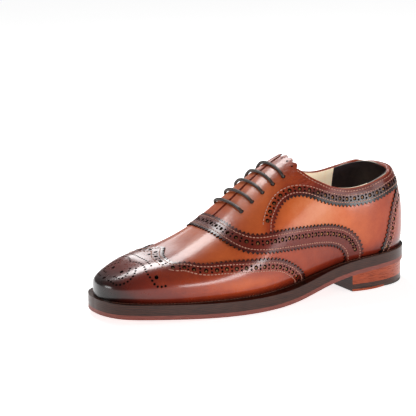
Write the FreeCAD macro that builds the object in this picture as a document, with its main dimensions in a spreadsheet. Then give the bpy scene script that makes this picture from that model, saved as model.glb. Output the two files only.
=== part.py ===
import FreeCAD, Part
import math
import os
from FreeCAD import Rotation, Vector

# Left-foot leather oxford with a wing-tip toe cap, full brogue trim and a stacked heel.
# Millimetres. +Z is up, the floor is Z = 0 and the heel stands on it. +X points to the
# heel, the toe is at -X, the outer (lateral) side of the foot faces -Y. The origin is
# on the floor, half-way along the sole and half-way across its widest points. Stations
# below are distances from the toe tip, and widths are taken from the heel's centre line,
# which lies centre_shift inwards of the XZ plane.

doc = FreeCAD.newDocument("oxford_shoe")

# ---------------------------------------------------------------- driving dimensions
DIMENSIONS = {
    "sole_length": 302.0,
    "centre_shift": 2.35,
    "outsole_thick": 3.6,
    "midsole_thick": 4.75,
    "welt_thick": 4.0,
    "welt_inner_inset": 11.0,
    "insole_thick": 2.6,
    "sock_thick": 1.1,
    "upper_leather": 1.2,
    "overlay_leather": 1.2,
    "interlining": 0.8,
    "lining_leather": 1.0,
    "inside_gap": 0.3,
    "tongue_drop": 7.4,
    "tongue_leather": 1.5,
    "tongue_backing": 1.0,
    "tongue_half_width": 21.0,
    "lace_gap": 2.4,
    "slit_start": 113.6,
    "slit_end": 190.0,
    "lace_diameter": 2.7,
    "lace_lift": 0.45,
    "lace_corner": 3.0,
    "eyelet_radius": 1.9,
    "eyelet_lateral": 23.5,
    "eyelet_medial": 20.5,
    "eyelet_first": 129.5,
    "eyelet_pitch": 10.25,
    "aglet_length": 18.0,
    "aglet_radius": 1.5,
    "heel_breast": 231.0,
    "heel_inset": 1.2,
    "top_piece_thick": 1.9,
    "base_lift_top": 6.2,
    "lift_top_lower": 9.4,
    "lift_top_upper": 12.6,
    "top_piece_split": 266.0,
    "nail_radius": 1.0,
    "nail_ring": 21.0,
    "nail_low": 2.2,
    "nail_top": 23.5,
    "shank_width": 14.0,
    "shank_thick": 1.2,
    "side_reach": 160.0,
    "topline_tilt": 0.083,
}

sheet = doc.addObject("Spreadsheet::Sheet", "dims")
for row, (alias, value) in enumerate(DIMENSIONS.items(), 1):
    sheet.set(f"A{row}", alias)
    sheet.set(f"B{row}", str(value))
    sheet.setAlias(f"B{row}", alias)
doc.recompute()


def dim(alias):
    """A driving dimension, read from the sheet."""
    return float(sheet.get(alias))


def at(station):
    """X of a station measured from the toe tip."""
    return station - dim("sole_length") / 2


def beside(width):
    """Y of a width measured inwards from the heel's centre line."""
    return width + dim("centre_shift")


# ---------------------------------------------------------------- shape of the last
# One row per station: half-widths outwards and inwards, height of the widest point,
# height of the crest, height of the underside, fullness of the section (2 is an
# ellipse, more is squarer) and how far the crest leans inwards.
LAST_ROWS = [
    (4.0, 4.0, 4.0, 26.0, 28.0, 12.0, 2.5, 0.0),
    (6.0, 10.0, 12.0, 26.0, 31.0, 10.0, 2.5, 0.0),
    (10.0, 18.0, 19.0, 26.0, 33.0, 9.0, 2.5, 0.0),
    (20.0, 28.0, 28.0, 26.0, 37.5, 8.0, 2.5, 0.0),
    (38.0, 37.0, 37.0, 26.0, 44.5, 7.0, 2.5, 0.0),
    (62.0, 44.0, 43.5, 26.0, 49.5, 6.0, 2.4, 2.0),
    (90.0, 48.5, 45.0, 26.0, 59.0, 5.0, 2.3, 4.0),
    (115.0, 50.0, 44.0, 27.0, 71.5, 5.0, 2.4, 5.0),
    (140.0, 48.5, 39.0, 30.0, 89.5, 5.0, 2.5, 6.0),
    (165.0, 44.0, 33.5, 34.0, 107.0, 7.0, 2.5, 6.5),
    (195.0, 38.0, 30.0, 38.0, 121.0, 12.0, 2.5, 5.0),
    (225.0, 33.5, 30.5, 43.0, 123.0, 17.0, 2.7, 2.0),
    (255.0, 34.5, 32.0, 47.0, 116.0, 20.0, 3.0, 0.0),
    (280.0, 28.0, 26.0, 49.0, 106.0, 22.0, 3.0, 0.0),
    (293.0, 17.0, 16.0, 50.0, 83.0, 23.0, 2.6, 0.0),
    (299.5, 4.0, 4.0, 50.0, 55.0, 40.0, 2.2, 0.0),
]
TOE_END = LAST_ROWS[0][0]
HEEL_END = LAST_ROWS[-1][0]
SECTIONS = 21
SECTION_POINTS = 28
PROFILE_SAMPLES = 61
TURN_SPACING = 0.02


def turn_of(station, toe=TOE_END, heel=HEEL_END):
    """Angle 0 at the toe end to pi at the heel end, which spaces sections closely at both."""
    share = (station - toe) / (heel - toe)
    return math.acos(max(-1.0, min(1.0, 1 - 2 * share)))


def station_of(turn, toe=TOE_END, heel=HEEL_END):
    return toe + (heel - toe) * (1 - math.cos(turn)) / 2


def curve_through(turns, stations, values):
    """Smooth curve of (station, value) whose parameter is the turn."""
    points = [Vector(s, v, 0) for s, v in zip(stations, values)]
    curve = Part.BSplineCurve()
    curve.interpolate(Points=points, Parameters=turns)
    return curve


ROW_TURNS = [turn_of(row[0]) for row in LAST_ROWS]


def last_column(index):
    return curve_through(ROW_TURNS, [row[0] for row in LAST_ROWS], [row[index] for row in LAST_ROWS])


LATERAL, MEDIAL, WIDEST, CREST, UNDERSIDE, FULLNESS, LEAN = [last_column(i) for i in range(1, 8)]


def grown(curve, offset):
    """The profile curve moved outwards by offset along its own normal."""
    turns = [math.pi * i / (PROFILE_SAMPLES - 1) for i in range(PROFILE_SAMPLES)]
    toe = TOE_END - offset
    heel = HEEL_END + offset
    new_turns, stations, values = [], [], []
    for index, turn in enumerate(turns):
        step = math.pi / 400
        low = max(turn - step, 0.0)
        high = min(turn + step, math.pi)
        along_station = station_of(high) - station_of(low)
        along_value = curve.value(high).y - curve.value(low).y
        if index == 0:
            normal = Vector(-1, 0, 0)
        elif index == PROFILE_SAMPLES - 1:
            normal = Vector(1, 0, 0)
        else:
            normal = Vector(-along_value, along_station, 0).normalize()
        station = station_of(turn) + normal.x * offset
        new_turn = turn_of(station, toe, heel)
        is_end = index in (0, PROFILE_SAMPLES - 1)
        crowded = new_turns and new_turn - new_turns[-1] < TURN_SPACING
        if not is_end and (crowded or math.pi - new_turn < TURN_SPACING):
            continue
        new_turns.append(new_turn)
        stations.append(station)
        values.append(curve.value(turn).y + normal.y * offset)
    return curve_through(new_turns, stations, values)


def section_point(angle, station, lateral, medial, widest, crest, underside, fullness, lean):
    """Point of a section; angle runs from -90 degrees, the underside, all the way round."""
    across = math.cos(angle)
    up = math.sin(angle)
    power = 2 / fullness
    half_width = lateral if across > 0 else medial
    height = crest - widest if up > 0 else widest - underside
    rise = math.copysign(abs(up) ** power, up)
    y = -math.copysign(abs(across) ** power, across) * half_width
    if rise > 0:
        y += lean * rise * rise
    return Vector(at(station), beside(y), widest + rise * height)


class Form:
    """The last's surface moved outwards by an offset, as sections ready to loft."""

    def __init__(self, offset):
        self.offset = offset
        self.toe = TOE_END - offset
        self.heel = HEEL_END + offset
        self.lateral = grown(LATERAL, offset)
        self.medial = grown(MEDIAL, offset)
        self.crest = grown(CREST, offset)

    def row(self, turn):
        return (station_of(turn, self.toe, self.heel), self.lateral.value(turn).y,
                self.medial.value(turn).y, WIDEST.value(turn).y, self.crest.value(turn).y,
                UNDERSIDE.value(turn).y - self.offset, FULLNESS.value(turn).y, LEAN.value(turn).y)

    def point(self, station, angle):
        return section_point(angle, *self.row(turn_of(station, self.toe, self.heel)))

    def angle_at(self, station, y):
        """Angle of the upper-side point of a section whose Y is y."""
        row = self.row(turn_of(station, self.toe, self.heel))
        low, high = 0.0, math.pi
        while high - low > 1e-6:
            middle = (low + high) / 2
            if section_point(middle, *row).y < y:
                low = middle
            else:
                high = middle
        return low

    def normal(self, station, angle):
        step = 0.01
        along = self.point(station + 1.0, angle) - self.point(station - 1.0, angle)
        around = self.point(station, angle + step) - self.point(station, angle - step)
        return along.cross(around).normalize()

    def solid(self, first_turn=0.0, last_turn=math.pi):
        wires = []
        for index in range(SECTIONS):
            row = self.row(first_turn + (last_turn - first_turn) * index / (SECTIONS - 1))
            points = [section_point(2 * math.pi * i / SECTION_POINTS - math.pi / 2, *row)
                      for i in range(SECTION_POINTS)]
            oval = Part.BSplineCurve()
            oval.interpolate(Points=points, PeriodicFlag=True)
            wires.append(Part.Wire([oval.toShape()]))
        return Part.makeLoft(wires, True, False)


def form_feature(name, offset, stations=None):
    """The form at an offset, whole or between two stations."""
    form = Form(offset)
    turns = [turn_of(s, form.toe, form.heel) for s in stations] if stations else (0.0, math.pi)
    feature = doc.addObject("Part::Feature", name)
    feature.Shape = form.solid(*turns)
    return feature


# ---------------------------------------------------------------- outline helpers
XZ_TURN = Rotation(Vector(1, 0, 0), 90)
pieces = []


def named(feature, label):
    """Marks a finished sub-part; its Label names its node and its file."""
    feature.Label = label
    pieces.append(feature)
    return feature


def draw(sketch, runs):
    """Draws a closed outline: a run of two points is a line, a longer one a smooth curve."""
    for run in runs:
        points = [Vector(u, v, 0) for u, v in run]
        if len(points) == 2:
            sketch.addGeometry(Part.LineSegment(points[0], points[1]), False)
        else:
            curve = Part.BSplineCurve()
            curve.interpolate(points)
            sketch.addGeometry(curve, False)


def polygon(points):
    return [[a, b] for a, b in zip(points, points[1:] + points[:1])]


def placed(stations):
    """Turns (station, value) points into (x, value) points."""
    return [(at(s), v) for s, v in stations]


def plan_placed(points):
    """Turns (station, width) points into (x, y) points."""
    return [(at(s), beside(w)) for s, w in points]


def closed_by(curve, corners):
    """A smooth curve closed by straight lines through the given corners."""
    ends = [curve[-1]] + corners + [curve[0]]
    return [curve] + [[a, b] for a, b in zip(ends, ends[1:])]


def side_region(name, runs, tilt=0.0):
    """Side-view outline, swept across the whole shoe."""
    sketch = doc.addObject("Sketcher::SketchObject", name + "_sketch")
    sketch.Placement = FreeCAD.Placement(Vector(), XZ_TURN)
    draw(sketch, runs)
    region = doc.addObject("Part::Extrusion", name)
    region.Base = sketch
    region.DirMode = "Custom"
    region.Dir = Vector(0, 1, tilt)
    region.setExpression("LengthFwd", "dims.side_reach")
    region.Symmetric = True
    region.Solid = True
    return region


def plan_region(name, runs, height_range=(-20.0, 150.0)):
    """Plan-view outline, raised through the given heights."""
    sketch = doc.addObject("Sketcher::SketchObject", name + "_sketch")
    sketch.Placement = FreeCAD.Placement(Vector(0, 0, height_range[0]), Rotation())
    draw(sketch, runs)
    region = doc.addObject("Part::Extrusion", name)
    region.Base = sketch
    region.DirMode = "Custom"
    region.Dir = Vector(0, 0, 1)
    region.LengthFwd = height_range[1] - height_range[0]
    region.Solid = True
    return region


def common(name, base, tool):
    feature = doc.addObject("Part::Common", name)
    feature.Base = base
    feature.Tool = tool
    return feature


def cut(name, base, tool):
    feature = doc.addObject("Part::Cut", name)
    feature.Base = base
    feature.Tool = tool
    return feature


def fused(name, shapes):
    feature = doc.addObject("Part::MultiFuse", name)
    feature.Shapes = shapes
    return feature


# ---------------------------------------------------------------- sole
# Underside of the outsole: toe spring, flat tread, rising waist and heel seat.
SOLE_UNDERSIDE = [(0.0, 5.1), (30.0, 3.9), (60.0, 2.2), (90.0, 0.7), (115.0, 0.1), (140.0, 0.4),
                  (170.0, 3.0), (200.0, 9.2), (231.0, 14.6), (265.0, 17.9), (302.0, 19.4)]
SOLE_LATERAL = [(3.0, 17.0), (10.0, 28.1), (25.0, 37.2), (50.0, 44.6), (80.0, 50.3), (110.0, 53.0),
                (140.0, 52.2), (170.0, 47.2), (200.0, 40.6), (230.0, 36.4), (260.0, 36.0),
                (285.0, 27.5), (298.0, 14.0)]
SOLE_MEDIAL = [(3.0, 18.0), (10.0, 28.6), (25.0, 37.0), (50.0, 44.5), (80.0, 48.3), (110.0, 46.6),
               (140.0, 40.5), (170.0, 34.5), (200.0, 31.8), (230.0, 32.6), (260.0, 34.0),
               (285.0, 25.5), (298.0, 13.0)]


def inset(points, distance):
    """Moves an open run of points to its right by distance."""
    moved = []
    for i, (u, v) in enumerate(points):
        before = points[max(i - 1, 0)]
        after = points[min(i + 1, len(points) - 1)]
        du, dv = after[0] - before[0], after[1] - before[1]
        length = math.hypot(du, dv)
        moved.append((u + dv / length * distance, v - du / length * distance))
    return moved


def sole_outline(distance=0.0):
    """Plan outline of the sole as two smooth sides, moved in by distance."""
    length = dim("sole_length")
    ends = [(0.0, 0.0), (length, 0.0)]
    medial = [(s, w) for s, w in SOLE_MEDIAL]
    lateral = [(s, -w) for s, w in SOLE_LATERAL]
    toe, heel = (ends[0][0] + distance, 0.0), (ends[1][0] - distance, 0.0)
    medial_side = inset([ends[0]] + medial + [ends[1]], distance)[1:-1]
    lateral_side = inset([ends[0]] + lateral + [ends[1]], -distance)[1:-1]
    return [plan_placed([toe] + medial_side + [heel]),
            plan_placed([heel] + lateral_side[::-1] + [toe])]


def sole_profile(low, high, first=-8.0, last=310.0):
    """Side outline of a layer between two heights above the outsole's underside."""
    def raised(extra):
        inner = [(s, z + extra) for s, z in SOLE_UNDERSIDE if first < s < last]
        return [end_point(first, extra)] + inner + [end_point(last, extra)]

    def end_point(station, extra):
        return (station, underside_height(station) + extra)

    bottom = placed(raised(low))
    top = placed(raised(high))[::-1]
    return [bottom, [bottom[-1], top[0]], top, [top[-1], bottom[0]]]


def underside_height(station):
    """Height of the outsole's underside; it runs on straight past both ends."""
    points = SOLE_UNDERSIDE
    for (s0, z0), (s1, z1) in zip(points, points[1:]):
        if station <= s1:
            break
    return z0 + (z1 - z0) * (station - s0) / (s1 - s0)


def plane_of(body, role):
    return next(f for f in body.Origin.OriginFeatures if f.Role == role)


def body_sketch(body, name, role, runs_list):
    sketch = body.newObject("Sketcher::SketchObject", name)
    sketch.AttachmentSupport = (plane_of(body, role), [""])
    sketch.MapMode = "FlatFace"
    for runs in runs_list:
        draw(sketch, runs)
    return sketch


def circle_sketch(body, name, centres, radius_alias):
    sketch = body.newObject("Sketcher::SketchObject", name)
    sketch.AttachmentSupport = (plane_of(body, "XY_Plane"), [""])
    sketch.MapMode = "FlatFace"
    for x, y in centres:
        sketch.addGeometry(Part.Circle(Vector(x, y, 0), Vector(0, 0, 1), dim(radius_alias)), False)
    return sketch


CLEAR_OF_ALL = 160.0  # a height past the whole shoe
HEEL_SEAT_LIMIT = 30.0  # a height past the heel seat
SHANK_SPAN = (128.0, 246.0)
TOE_PUFF_BACK = 74.0
LINING_SPLITS = (124.0, 249.0)
PAST_TOE, PAST_HEEL = -20.0, 330.0

FRAME_RECTANGLE = polygon([(-180.0, -80.0), (180.0, -80.0), (180.0, 80.0), (-180.0, 80.0)])


def through_pocket(body, name, sketch):
    """Pocket through everything, both ways from the plan plane."""
    before = body.Shape.Volume
    pocket = body.newObject("PartDesign::Pocket", name)
    pocket.Profile = sketch
    pocket.Type = 1
    pocket.Midplane = True
    doc.recompute()
    if body.Shape.Volume >= before:
        raise RuntimeError(name + " cut nothing")
    return pocket


def sole_layer(label, side_outline, plan_outline, hole_outline=None, nails=None):
    """A layer padded from its side outline and trimmed to its plan outline."""
    body = doc.addObject("PartDesign::Body", label + "_body")
    side = body_sketch(body, label + "_side", "XZ_Plane", [side_outline])
    pad = body.newObject("PartDesign::Pad", label + "_pad")
    pad.Profile = side
    pad.Midplane = True
    pad.setExpression("Length", "dims.side_reach")
    doc.recompute()
    trim = body_sketch(body, label + "_plan", "XY_Plane", [FRAME_RECTANGLE, plan_outline])
    through_pocket(body, label + "_trim", trim)
    if hole_outline:
        hole = body_sketch(body, label + "_inner", "XY_Plane", [hole_outline])
        through_pocket(body, label + "_opening", hole)
    if nails:
        through_pocket(body, label + "_nail_holes", circle_sketch(body, label + "_nails", nails, "nail_radius"))
    return named(body, label)


def heel_nail_centres():
    """Seven nails in a horseshoe, well inside the heel's edge."""
    centre = at(264.0)
    angles = [-150, -100, -50, 0, 50, 100, 150]
    ring = dim("nail_ring")
    return [(centre + ring * math.cos(math.radians(a)), beside(ring * math.sin(math.radians(a))))
            for a in angles]


def heel_outline(front, back=PAST_HEEL):
    """Plan outline of a heel layer between two stations."""
    medial, lateral = sole_outline(dim("heel_inset"))
    front_x, back_x = at(front), at(back)

    def clipped(side):
        return [p for p in side if front_x + 2.0 < p[0] < back_x - 2.0]

    def crossing(side, x):
        for (x0, y0), (x1, y1) in zip(side, side[1:]):
            if x0 <= x <= x1:
                return (x, y0 + (y1 - y0) * (x - x0) / (x1 - x0))

    medial_run = clipped(medial)
    lateral_run = clipped(lateral[::-1])
    medial_front, lateral_front = crossing(medial, front_x), crossing(lateral[::-1], front_x)
    if back > dim("sole_length"):
        return [[medial_front] + medial_run, lateral_run[::-1] + [lateral_front],
                [lateral_front, medial_front]]
    medial_back, lateral_back = crossing(medial, back_x), crossing(lateral[::-1], back_x)
    return [[medial_front] + medial_run + [medial_back], [medial_back, lateral_back],
            [lateral_back] + lateral_run[::-1] + [lateral_front], [lateral_front, medial_front]]


def build_sole():
    nails = heel_nail_centres()
    outsole_top = dim("outsole_thick")
    midsole_top = outsole_top + dim("midsole_thick")
    welt_top = midsole_top + dim("welt_thick")
    ring_inner = sole_outline(dim("welt_inner_inset"))
    sole_layer("outsole", sole_profile(0.0, outsole_top), sole_outline(), nails=nails)
    sole_layer("midsole", sole_profile(outsole_top, midsole_top), sole_outline(), nails=nails)
    sole_layer("welt", sole_profile(midsole_top, welt_top), sole_outline(), hole_outline=ring_inner)
    return midsole_top, welt_top


def box_profile(low, high, first, last):
    return polygon(placed([(first, low), (last, low), (last, high), (first, high)]))


def build_heel():
    nails = heel_nail_centres()
    breast = dim("heel_breast")
    split = dim("top_piece_split")
    top_piece = dim("top_piece_thick")
    levels = [top_piece, dim("base_lift_top"), dim("lift_top_lower"), dim("lift_top_upper")]
    outline = heel_outline(breast)
    sole_layer("heel_top_piece_leather", box_profile(0.0, top_piece, breast - 5, split),
               heel_outline(breast, split))
    sole_layer("heel_top_piece_rubber", box_profile(0.0, top_piece, split, 310.0), heel_outline(split))
    names = ["heel_base_lift", "heel_lift_lower", "heel_lift_upper"]
    for name, low, high in zip(names, levels, levels[1:]):
        sole_layer(name, box_profile(low, high, breast - 5, 310.0), outline, nails=nails)
    slab = sole_layer("heel_seat_slab", box_profile(levels[-1], HEEL_SEAT_LIMIT, breast - 5, 310.0), outline,
                      nails=nails)
    pieces.remove(slab)
    underside = sole_profile(0.0, 0.0)[0]
    above = side_region("above_underside", closed_by(underside, [(underside[-1][0], CLEAR_OF_ALL),
                                                                 (underside[0][0], CLEAR_OF_ALL)]))
    named(cut("heel_seat_cut", slab, above), "heel_seat_wedge")
    group = []
    for number, (x, y) in enumerate(nails, 1):
        nail = doc.addObject("Part::Cylinder", f"heel_nail_{number}")
        nail.setExpression("Radius", "dims.nail_radius")
        nail.setExpression("Height", "dims.nail_top - dims.nail_low")
        nail.Placement = FreeCAD.Placement(Vector(x, y, dim("nail_low")), Rotation())
        group.append(nail)
    nails_group = doc.addObject("Part::Compound", "heel_nail_group")
    nails_group.Links = group
    named(nails_group, "heel_nails")


def build_insides(midsole_top, welt_top, cavity):
    """Cork filler, shank, insole and sock, all inside the ring of the welt."""
    ring_inner = sole_outline(dim("welt_inner_inset"))
    shank_top = midsole_top + dim("shank_thick")
    width = dim("shank_width") / 2
    shank_ends = tuple(at(station) for station in SHANK_SPAN)
    shank_plan = polygon([(shank_ends[0], beside(-width)), (shank_ends[1], beside(-width)),
                          (shank_ends[1], beside(width)), (shank_ends[0], beside(width))])
    shank = sole_layer("shank", sole_profile(midsole_top, shank_top), shank_plan)
    blank = sole_layer("cork_blank", sole_profile(midsole_top, welt_top), ring_inner)
    pieces.remove(blank)
    named(cut("cork_cut", blank, shank), "cork_filler")
    insole_top = welt_top + dim("insole_thick")
    sock_top = insole_top + dim("sock_thick")
    insole_slab = side_region("insole_slab", sole_profile(welt_top, insole_top))
    sock_slab = side_region("sock_slab", sole_profile(insole_top, sock_top))
    named(common("insole_common", cavity, insole_slab), "insole")
    named(common("sock_common", cavity, sock_slab), "sock_lining")


midsole_height, welt_height = build_sole()
build_heel()

# ---------------------------------------------------------------- upper: regions
# Side-view outlines of the upper's edges, as (station, height).
TOPLINE = [(172.0, 140.0), (176.5, 121.0), (184.0, 111.0), (193.0, 104.5), (201.0, 100.5), (210.0, 96.5),
           (220.0, 93.7), (230.0, 92.6), (240.0, 93.3), (251.0, 95.5), (262.0, 98.5), (272.0, 100.7),
           (285.0, 101.8), (310.0, 101.8)]
VAMP_EDGE = [(100.0, 140.0), (107.5, 76.0), (111.0, 66.0), (117.0, 60.3), (126.0, 57.3), (143.0, 56.0),
             (185.0, 55.3), (203.0, 54.3), (216.0, 51.0), (226.0, 45.0), (231.5, 37.0), (234.0, 28.0),
             (234.5, 0.0)]
BAND_UPPER = [(113.6, 140.0), (113.8, 74.0), (115.5, 68.0), (119.0, 65.0), (125.0, 62.8), (142.0, 62.8),
              (162.0, 63.7), (184.0, 63.0), (200.0, 62.0), (214.0, 59.5), (226.0, 55.0), (235.0, 47.5),
              (240.0, 38.0), (241.5, 28.0), (242.0, 0.0)]
BAND_LOWER = [(92.0, 140.0), (101.5, 72.0), (104.5, 62.0), (109.0, 57.0), (118.0, 52.3), (130.0, 50.2),
              (150.0, 49.2), (183.0, 48.0), (200.0, 46.6), (212.0, 44.0), (221.0, 38.5), (225.5, 31.0),
              (227.0, 24.0), (227.5, 0.0)]
FACING_EDGE = [(145.0, 55.0), (146.0, 68.0), (149.5, 74.5), (155.0, 81.0), (162.0, 86.8), (170.0, 90.0),
               (179.0, 90.6), (188.0, 88.6), (198.0, 84.6), (208.0, 81.0), (219.0, 78.2), (231.0, 77.0),
               (245.0, 77.8), (260.0, 81.0), (273.0, 85.0), (287.0, 87.6), (310.0, 88.5)]
COUNTER_EDGE = [(285.5, 87.0), (281.5, 81.5), (276.5, 74.5), (273.0, 66.0), (270.3, 56.0), (267.5, 45.0),
                (263.5, 35.0), (259.0, 20.0)]
WING_EDGE = [(30.0, 45.2), (52.0, 46.3), (62.0, 45.2), (75.0, 43.8), (95.0, 43.8), (120.0, 43.6), (140.0, 42.3),
             (154.0, 39.0), (166.0, 32.5), (176.0, 24.0), (184.0, 12.0), (188.0, 0.0)]
CAP_PEAK = [(53.0, -60.0), (55.5, -24.0), (58.5, -8.0), (66.0, 3.5), (58.5, 15.0), (55.5, 30.0), (53.0, 60.0)]
COUNTER_STIFFENER = [(222.0, 0.0), (226.0, 50.0), (236.0, 68.0), (252.0, 75.0), (275.0, 79.0), (310.0, 80.0)]


def behind(curve):
    """Region on the heel side of and above a side-view curve that ends low."""
    points = placed(curve)
    return closed_by(points, [(at(PAST_HEEL), points[-1][1]), (at(PAST_HEEL), points[0][1])])


def ahead(curve):
    """Region on the toe side of and below a side-view curve that ends low."""
    points = placed(curve)
    return closed_by(points, [(at(PAST_TOE), points[-1][1]), (at(PAST_TOE), points[0][1])])


def build_window():
    """Everything between the welt's top and the topline, which is higher on the inner side."""
    bottom = sole_profile(welt_height, welt_height)[0]
    above_welt = side_region("above_welt", closed_by(bottom, [(bottom[-1][0], CLEAR_OF_ALL),
                                                              (bottom[0][0], CLEAR_OF_ALL)]))
    top = placed(TOPLINE)
    low_corners = [(top[-1][0], -CLEAR_OF_ALL), (bottom[0][0], -CLEAR_OF_ALL), (bottom[0][0], top[0][1])]
    below_topline = side_region("below_topline", closed_by(top, low_corners), dim("topline_tilt"))
    return common("upper_window", above_welt, below_topline)


def build_lateral_half():
    """Outer side of the line that follows the crest and then the back seam."""
    seam = plan_placed([(95.0, 4.2), (113.0, 5.0), (140.0, 6.0), (180.0, 6.8), (230.0, 0.0), (330.0, 0.0)])
    corners = seam + [(at(330.0), -90.0), (at(95.0), -90.0)]
    return plan_region("lateral_half", polygon(corners))


def slit_y(station):
    """Y of the middle of the lacing slit, which runs along the crest."""
    share = (station - dim("slit_start")) / (dim("slit_end") - dim("slit_start"))
    return beside(5.0 + 2.0 * share)


def build_lace_slit():
    half = dim("lace_gap") / 2
    first, last = dim("slit_start"), dim("slit_end")
    low, high = (at(first), slit_y(first)), (at(last), slit_y(last))
    corners = [(low[0], low[1] - half), (high[0], high[1] - half), (high[0], high[1] + half),
               (low[0], low[1] + half)]
    return plan_region("lace_slit", polygon(corners), (60.0, 150.0))


forms = {name: form_feature("form_" + name, offset) for name, offset in (
    ("inside", -(dim("upper_leather") + dim("interlining") + dim("lining_leather") + dim("inside_gap"))),
    ("cavity", -(dim("upper_leather") + dim("interlining") + dim("lining_leather"))),
    ("lining", -(dim("upper_leather") + dim("interlining"))),
    ("backing", -dim("upper_leather")),
    ("upper", 0.0),
    ("overlay", dim("overlay_leather")))}

build_insides(midsole_height, welt_height, forms["inside"])

window = build_window()
lateral_half = build_lateral_half()
lace_slit = build_lace_slit()


def layer(name, outer, inner):
    """The skin between two forms, trimmed at welt and topline."""
    skin = cut(name + "_skin", forms[outer], forms[inner])
    return common(name + "_layer", skin, window)


lining_layer = layer("lining", "lining", "cavity")
backing_layer = layer("backing", "backing", "lining")
base_layer = layer("base", "upper", "backing")
overlay_layer = layer("overlay", "overlay", "upper")


# ---------------------------------------------------------------- lacing
EYELET_ROWS = 5
surface = Form(0.0)


def row_station(row):
    return dim("eyelet_first") + dim("eyelet_pitch") * row


def eyelet_y(side, station):
    """side is -1 on the lateral facing and 1 on the medial one."""
    return slit_y(station) + (dim("eyelet_medial") if side > 0 else -dim("eyelet_lateral"))


def lifted(station, angle, height):
    """Point at a height above the outer surface of the upper."""
    return surface.point(station, angle) + surface.normal(station, angle) * height


def over(station, y, height):
    return lifted(station, surface.angle_at(station, y), height)


def build_eyelet_tools():
    reach = 8.0
    tools = []
    for side in (-1, 1):
        for row in range(EYELET_ROWS):
            station = row_station(row)
            angle = surface.angle_at(station, eyelet_y(side, station))
            axis = surface.normal(station, angle)
            tool = doc.addObject("Part::Cylinder", "eyelet_tool")
            tool.setExpression("Radius", "dims.eyelet_radius")
            tool.Height = 2 * reach
            tool.Placement = FreeCAD.Placement(lifted(station, angle, -reach),
                                               Rotation(Vector(0, 0, 1), axis))
            tools.append(tool)
    group = doc.addObject("Part::Compound", "eyelet_tools")
    group.Links = tools
    return group


TOP_HEIGHT = dim("overlay_leather") + dim("lace_lift") + dim("lace_diameter") / 2
SKIN_DEPTH = dim("upper_leather") + dim("interlining") + dim("lining_leather")
UNDER_HEIGHT = -(SKIN_DEPTH + dim("lace_lift") + dim("lace_diameter") / 2)
BAR_SHARES = (0.0, 0.25, 0.5, 0.72, 0.87, 1.0)
BAR_RISES = (0.0, 0.0, 0.0, 0.5, 0.5, 0.0)
SIDE_STEP = 3.5


def bar(row, start_side):
    """A bar across the slit, from one eyelet over the crest to its partner.

    It rides a little higher over the inner side's sharp shoulder.
    """
    station = row_station(row)
    outer, inner = eyelet_y(-1, station), eyelet_y(1, station)
    points = [over(station, outer + (inner - outer) * share, TOP_HEIGHT + rise)
              for share, rise in zip(BAR_SHARES, BAR_RISES)]
    return points if start_side < 0 else points[::-1]


def under(side, row, aside=0.0):
    """Point below an eyelet, or beside it when the lace passes by."""
    station = row_station(row)
    return over(station, eyelet_y(side, station) + side * aside, UNDER_HEIGHT)


def tail(side, row, tail_angle, stations):
    """Spare lace: out sideways under the facing, then forwards along the lining."""
    first = over(row_station(row) - 1.0, eyelet_y(side, row_station(row)) + side * 7.0, UNDER_HEIGHT)
    return [first] + [lifted(s, math.radians(tail_angle), UNDER_HEIGHT) for s in stations]


def lace_route():
    """Straight bar lacing, one continuous lace from tail to tail."""
    lateral_tail = tail(-1, 4, 50.0, (158.0, 142.0, 126.0, 110.0))
    medial_tail = tail(1, 3, 146.0, (148.0, 134.0, 119.0, 104.0))
    route = lateral_tail[::-1] + [under(-1, 4)] + bar(4, -1) + [under(1, 4)]
    route += [under(1, 3, -SIDE_STEP), under(1, 2)] + bar(2, 1) + [under(-1, 2)]
    route += [under(-1, 1, -SIDE_STEP), under(-1, 0)] + bar(0, -1) + [under(1, 0)]
    route += [under(1, 1)] + bar(1, 1) + [under(-1, 1)]
    route += [under(-1, 2, SIDE_STEP), under(-1, 3)] + bar(3, -1) + [under(1, 3)] + medial_tail
    return route


def rounded_wire(points, largest):
    """Straight runs joined by tangent arcs, as round as the runs allow."""
    edges, radii = [], []
    start = points[0]
    for before, corner, after in zip(points, points[1:], points[2:]):
        into = (corner - before).normalize()
        out = (after - corner).normalize()
        half_turn = into.getAngle(out) / 2
        shorter = min((corner - before).Length, (after - corner).Length)
        radius = 0.45 * shorter / math.tan(half_turn)
        if math.degrees(2 * half_turn) > 50.0:
            radius = min(radius, largest)
        reach = radius * math.tan(half_turn)
        arc_start, arc_end = corner - into * reach, corner + out * reach
        inward = (out - into).normalize()
        arc_middle = corner + inward * (radius / math.cos(half_turn) - radius)
        edges.append(Part.LineSegment(start, arc_start).toShape())
        edges.append(Part.Arc(arc_start, arc_middle, arc_end).toShape())
        radii.append(round(radius, 1))
        start = arc_end
    edges.append(Part.LineSegment(start, points[-1]).toShape())
    return Part.Wire(edges), radii


def build_lace():
    route = lace_route()
    path, radii = rounded_wire(route, dim("lace_corner"))
    radius = dim("lace_diameter") / 2
    heading = (route[1] - route[0]).normalize()
    profile = Part.Wire([Part.Circle(route[0], heading, radius).toShape()])
    lace = doc.addObject("Part::Feature", "lace_sweep")
    lace.Shape = path.makePipeShell([profile], True, False)
    expected = math.pi * radius ** 2 * path.Length
    print(f"lace: {path.Length:.0f} mm long, volume {lace.Shape.Volume:.0f} of {expected:.0f} mm3")
    print("lace bend radii:", sorted(radii)[:12])
    named(lace, "lace")
    aglets = []
    for end, inner in ((route[0], route[1]), (route[-1], route[-2])):
        outward = (end - inner).normalize()
        aglet = doc.addObject("Part::Cylinder", "aglet")
        aglet.setExpression("Radius", "dims.aglet_radius")
        aglet.setExpression("Height", "dims.aglet_length")
        aglet.Placement = FreeCAD.Placement(end, Rotation(Vector(0, 0, 1), outward))
        aglets.append(aglet)
    group = doc.addObject("Part::Compound", "aglet_pair")
    group.Links = aglets
    named(group, "lace_aglets")


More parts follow.
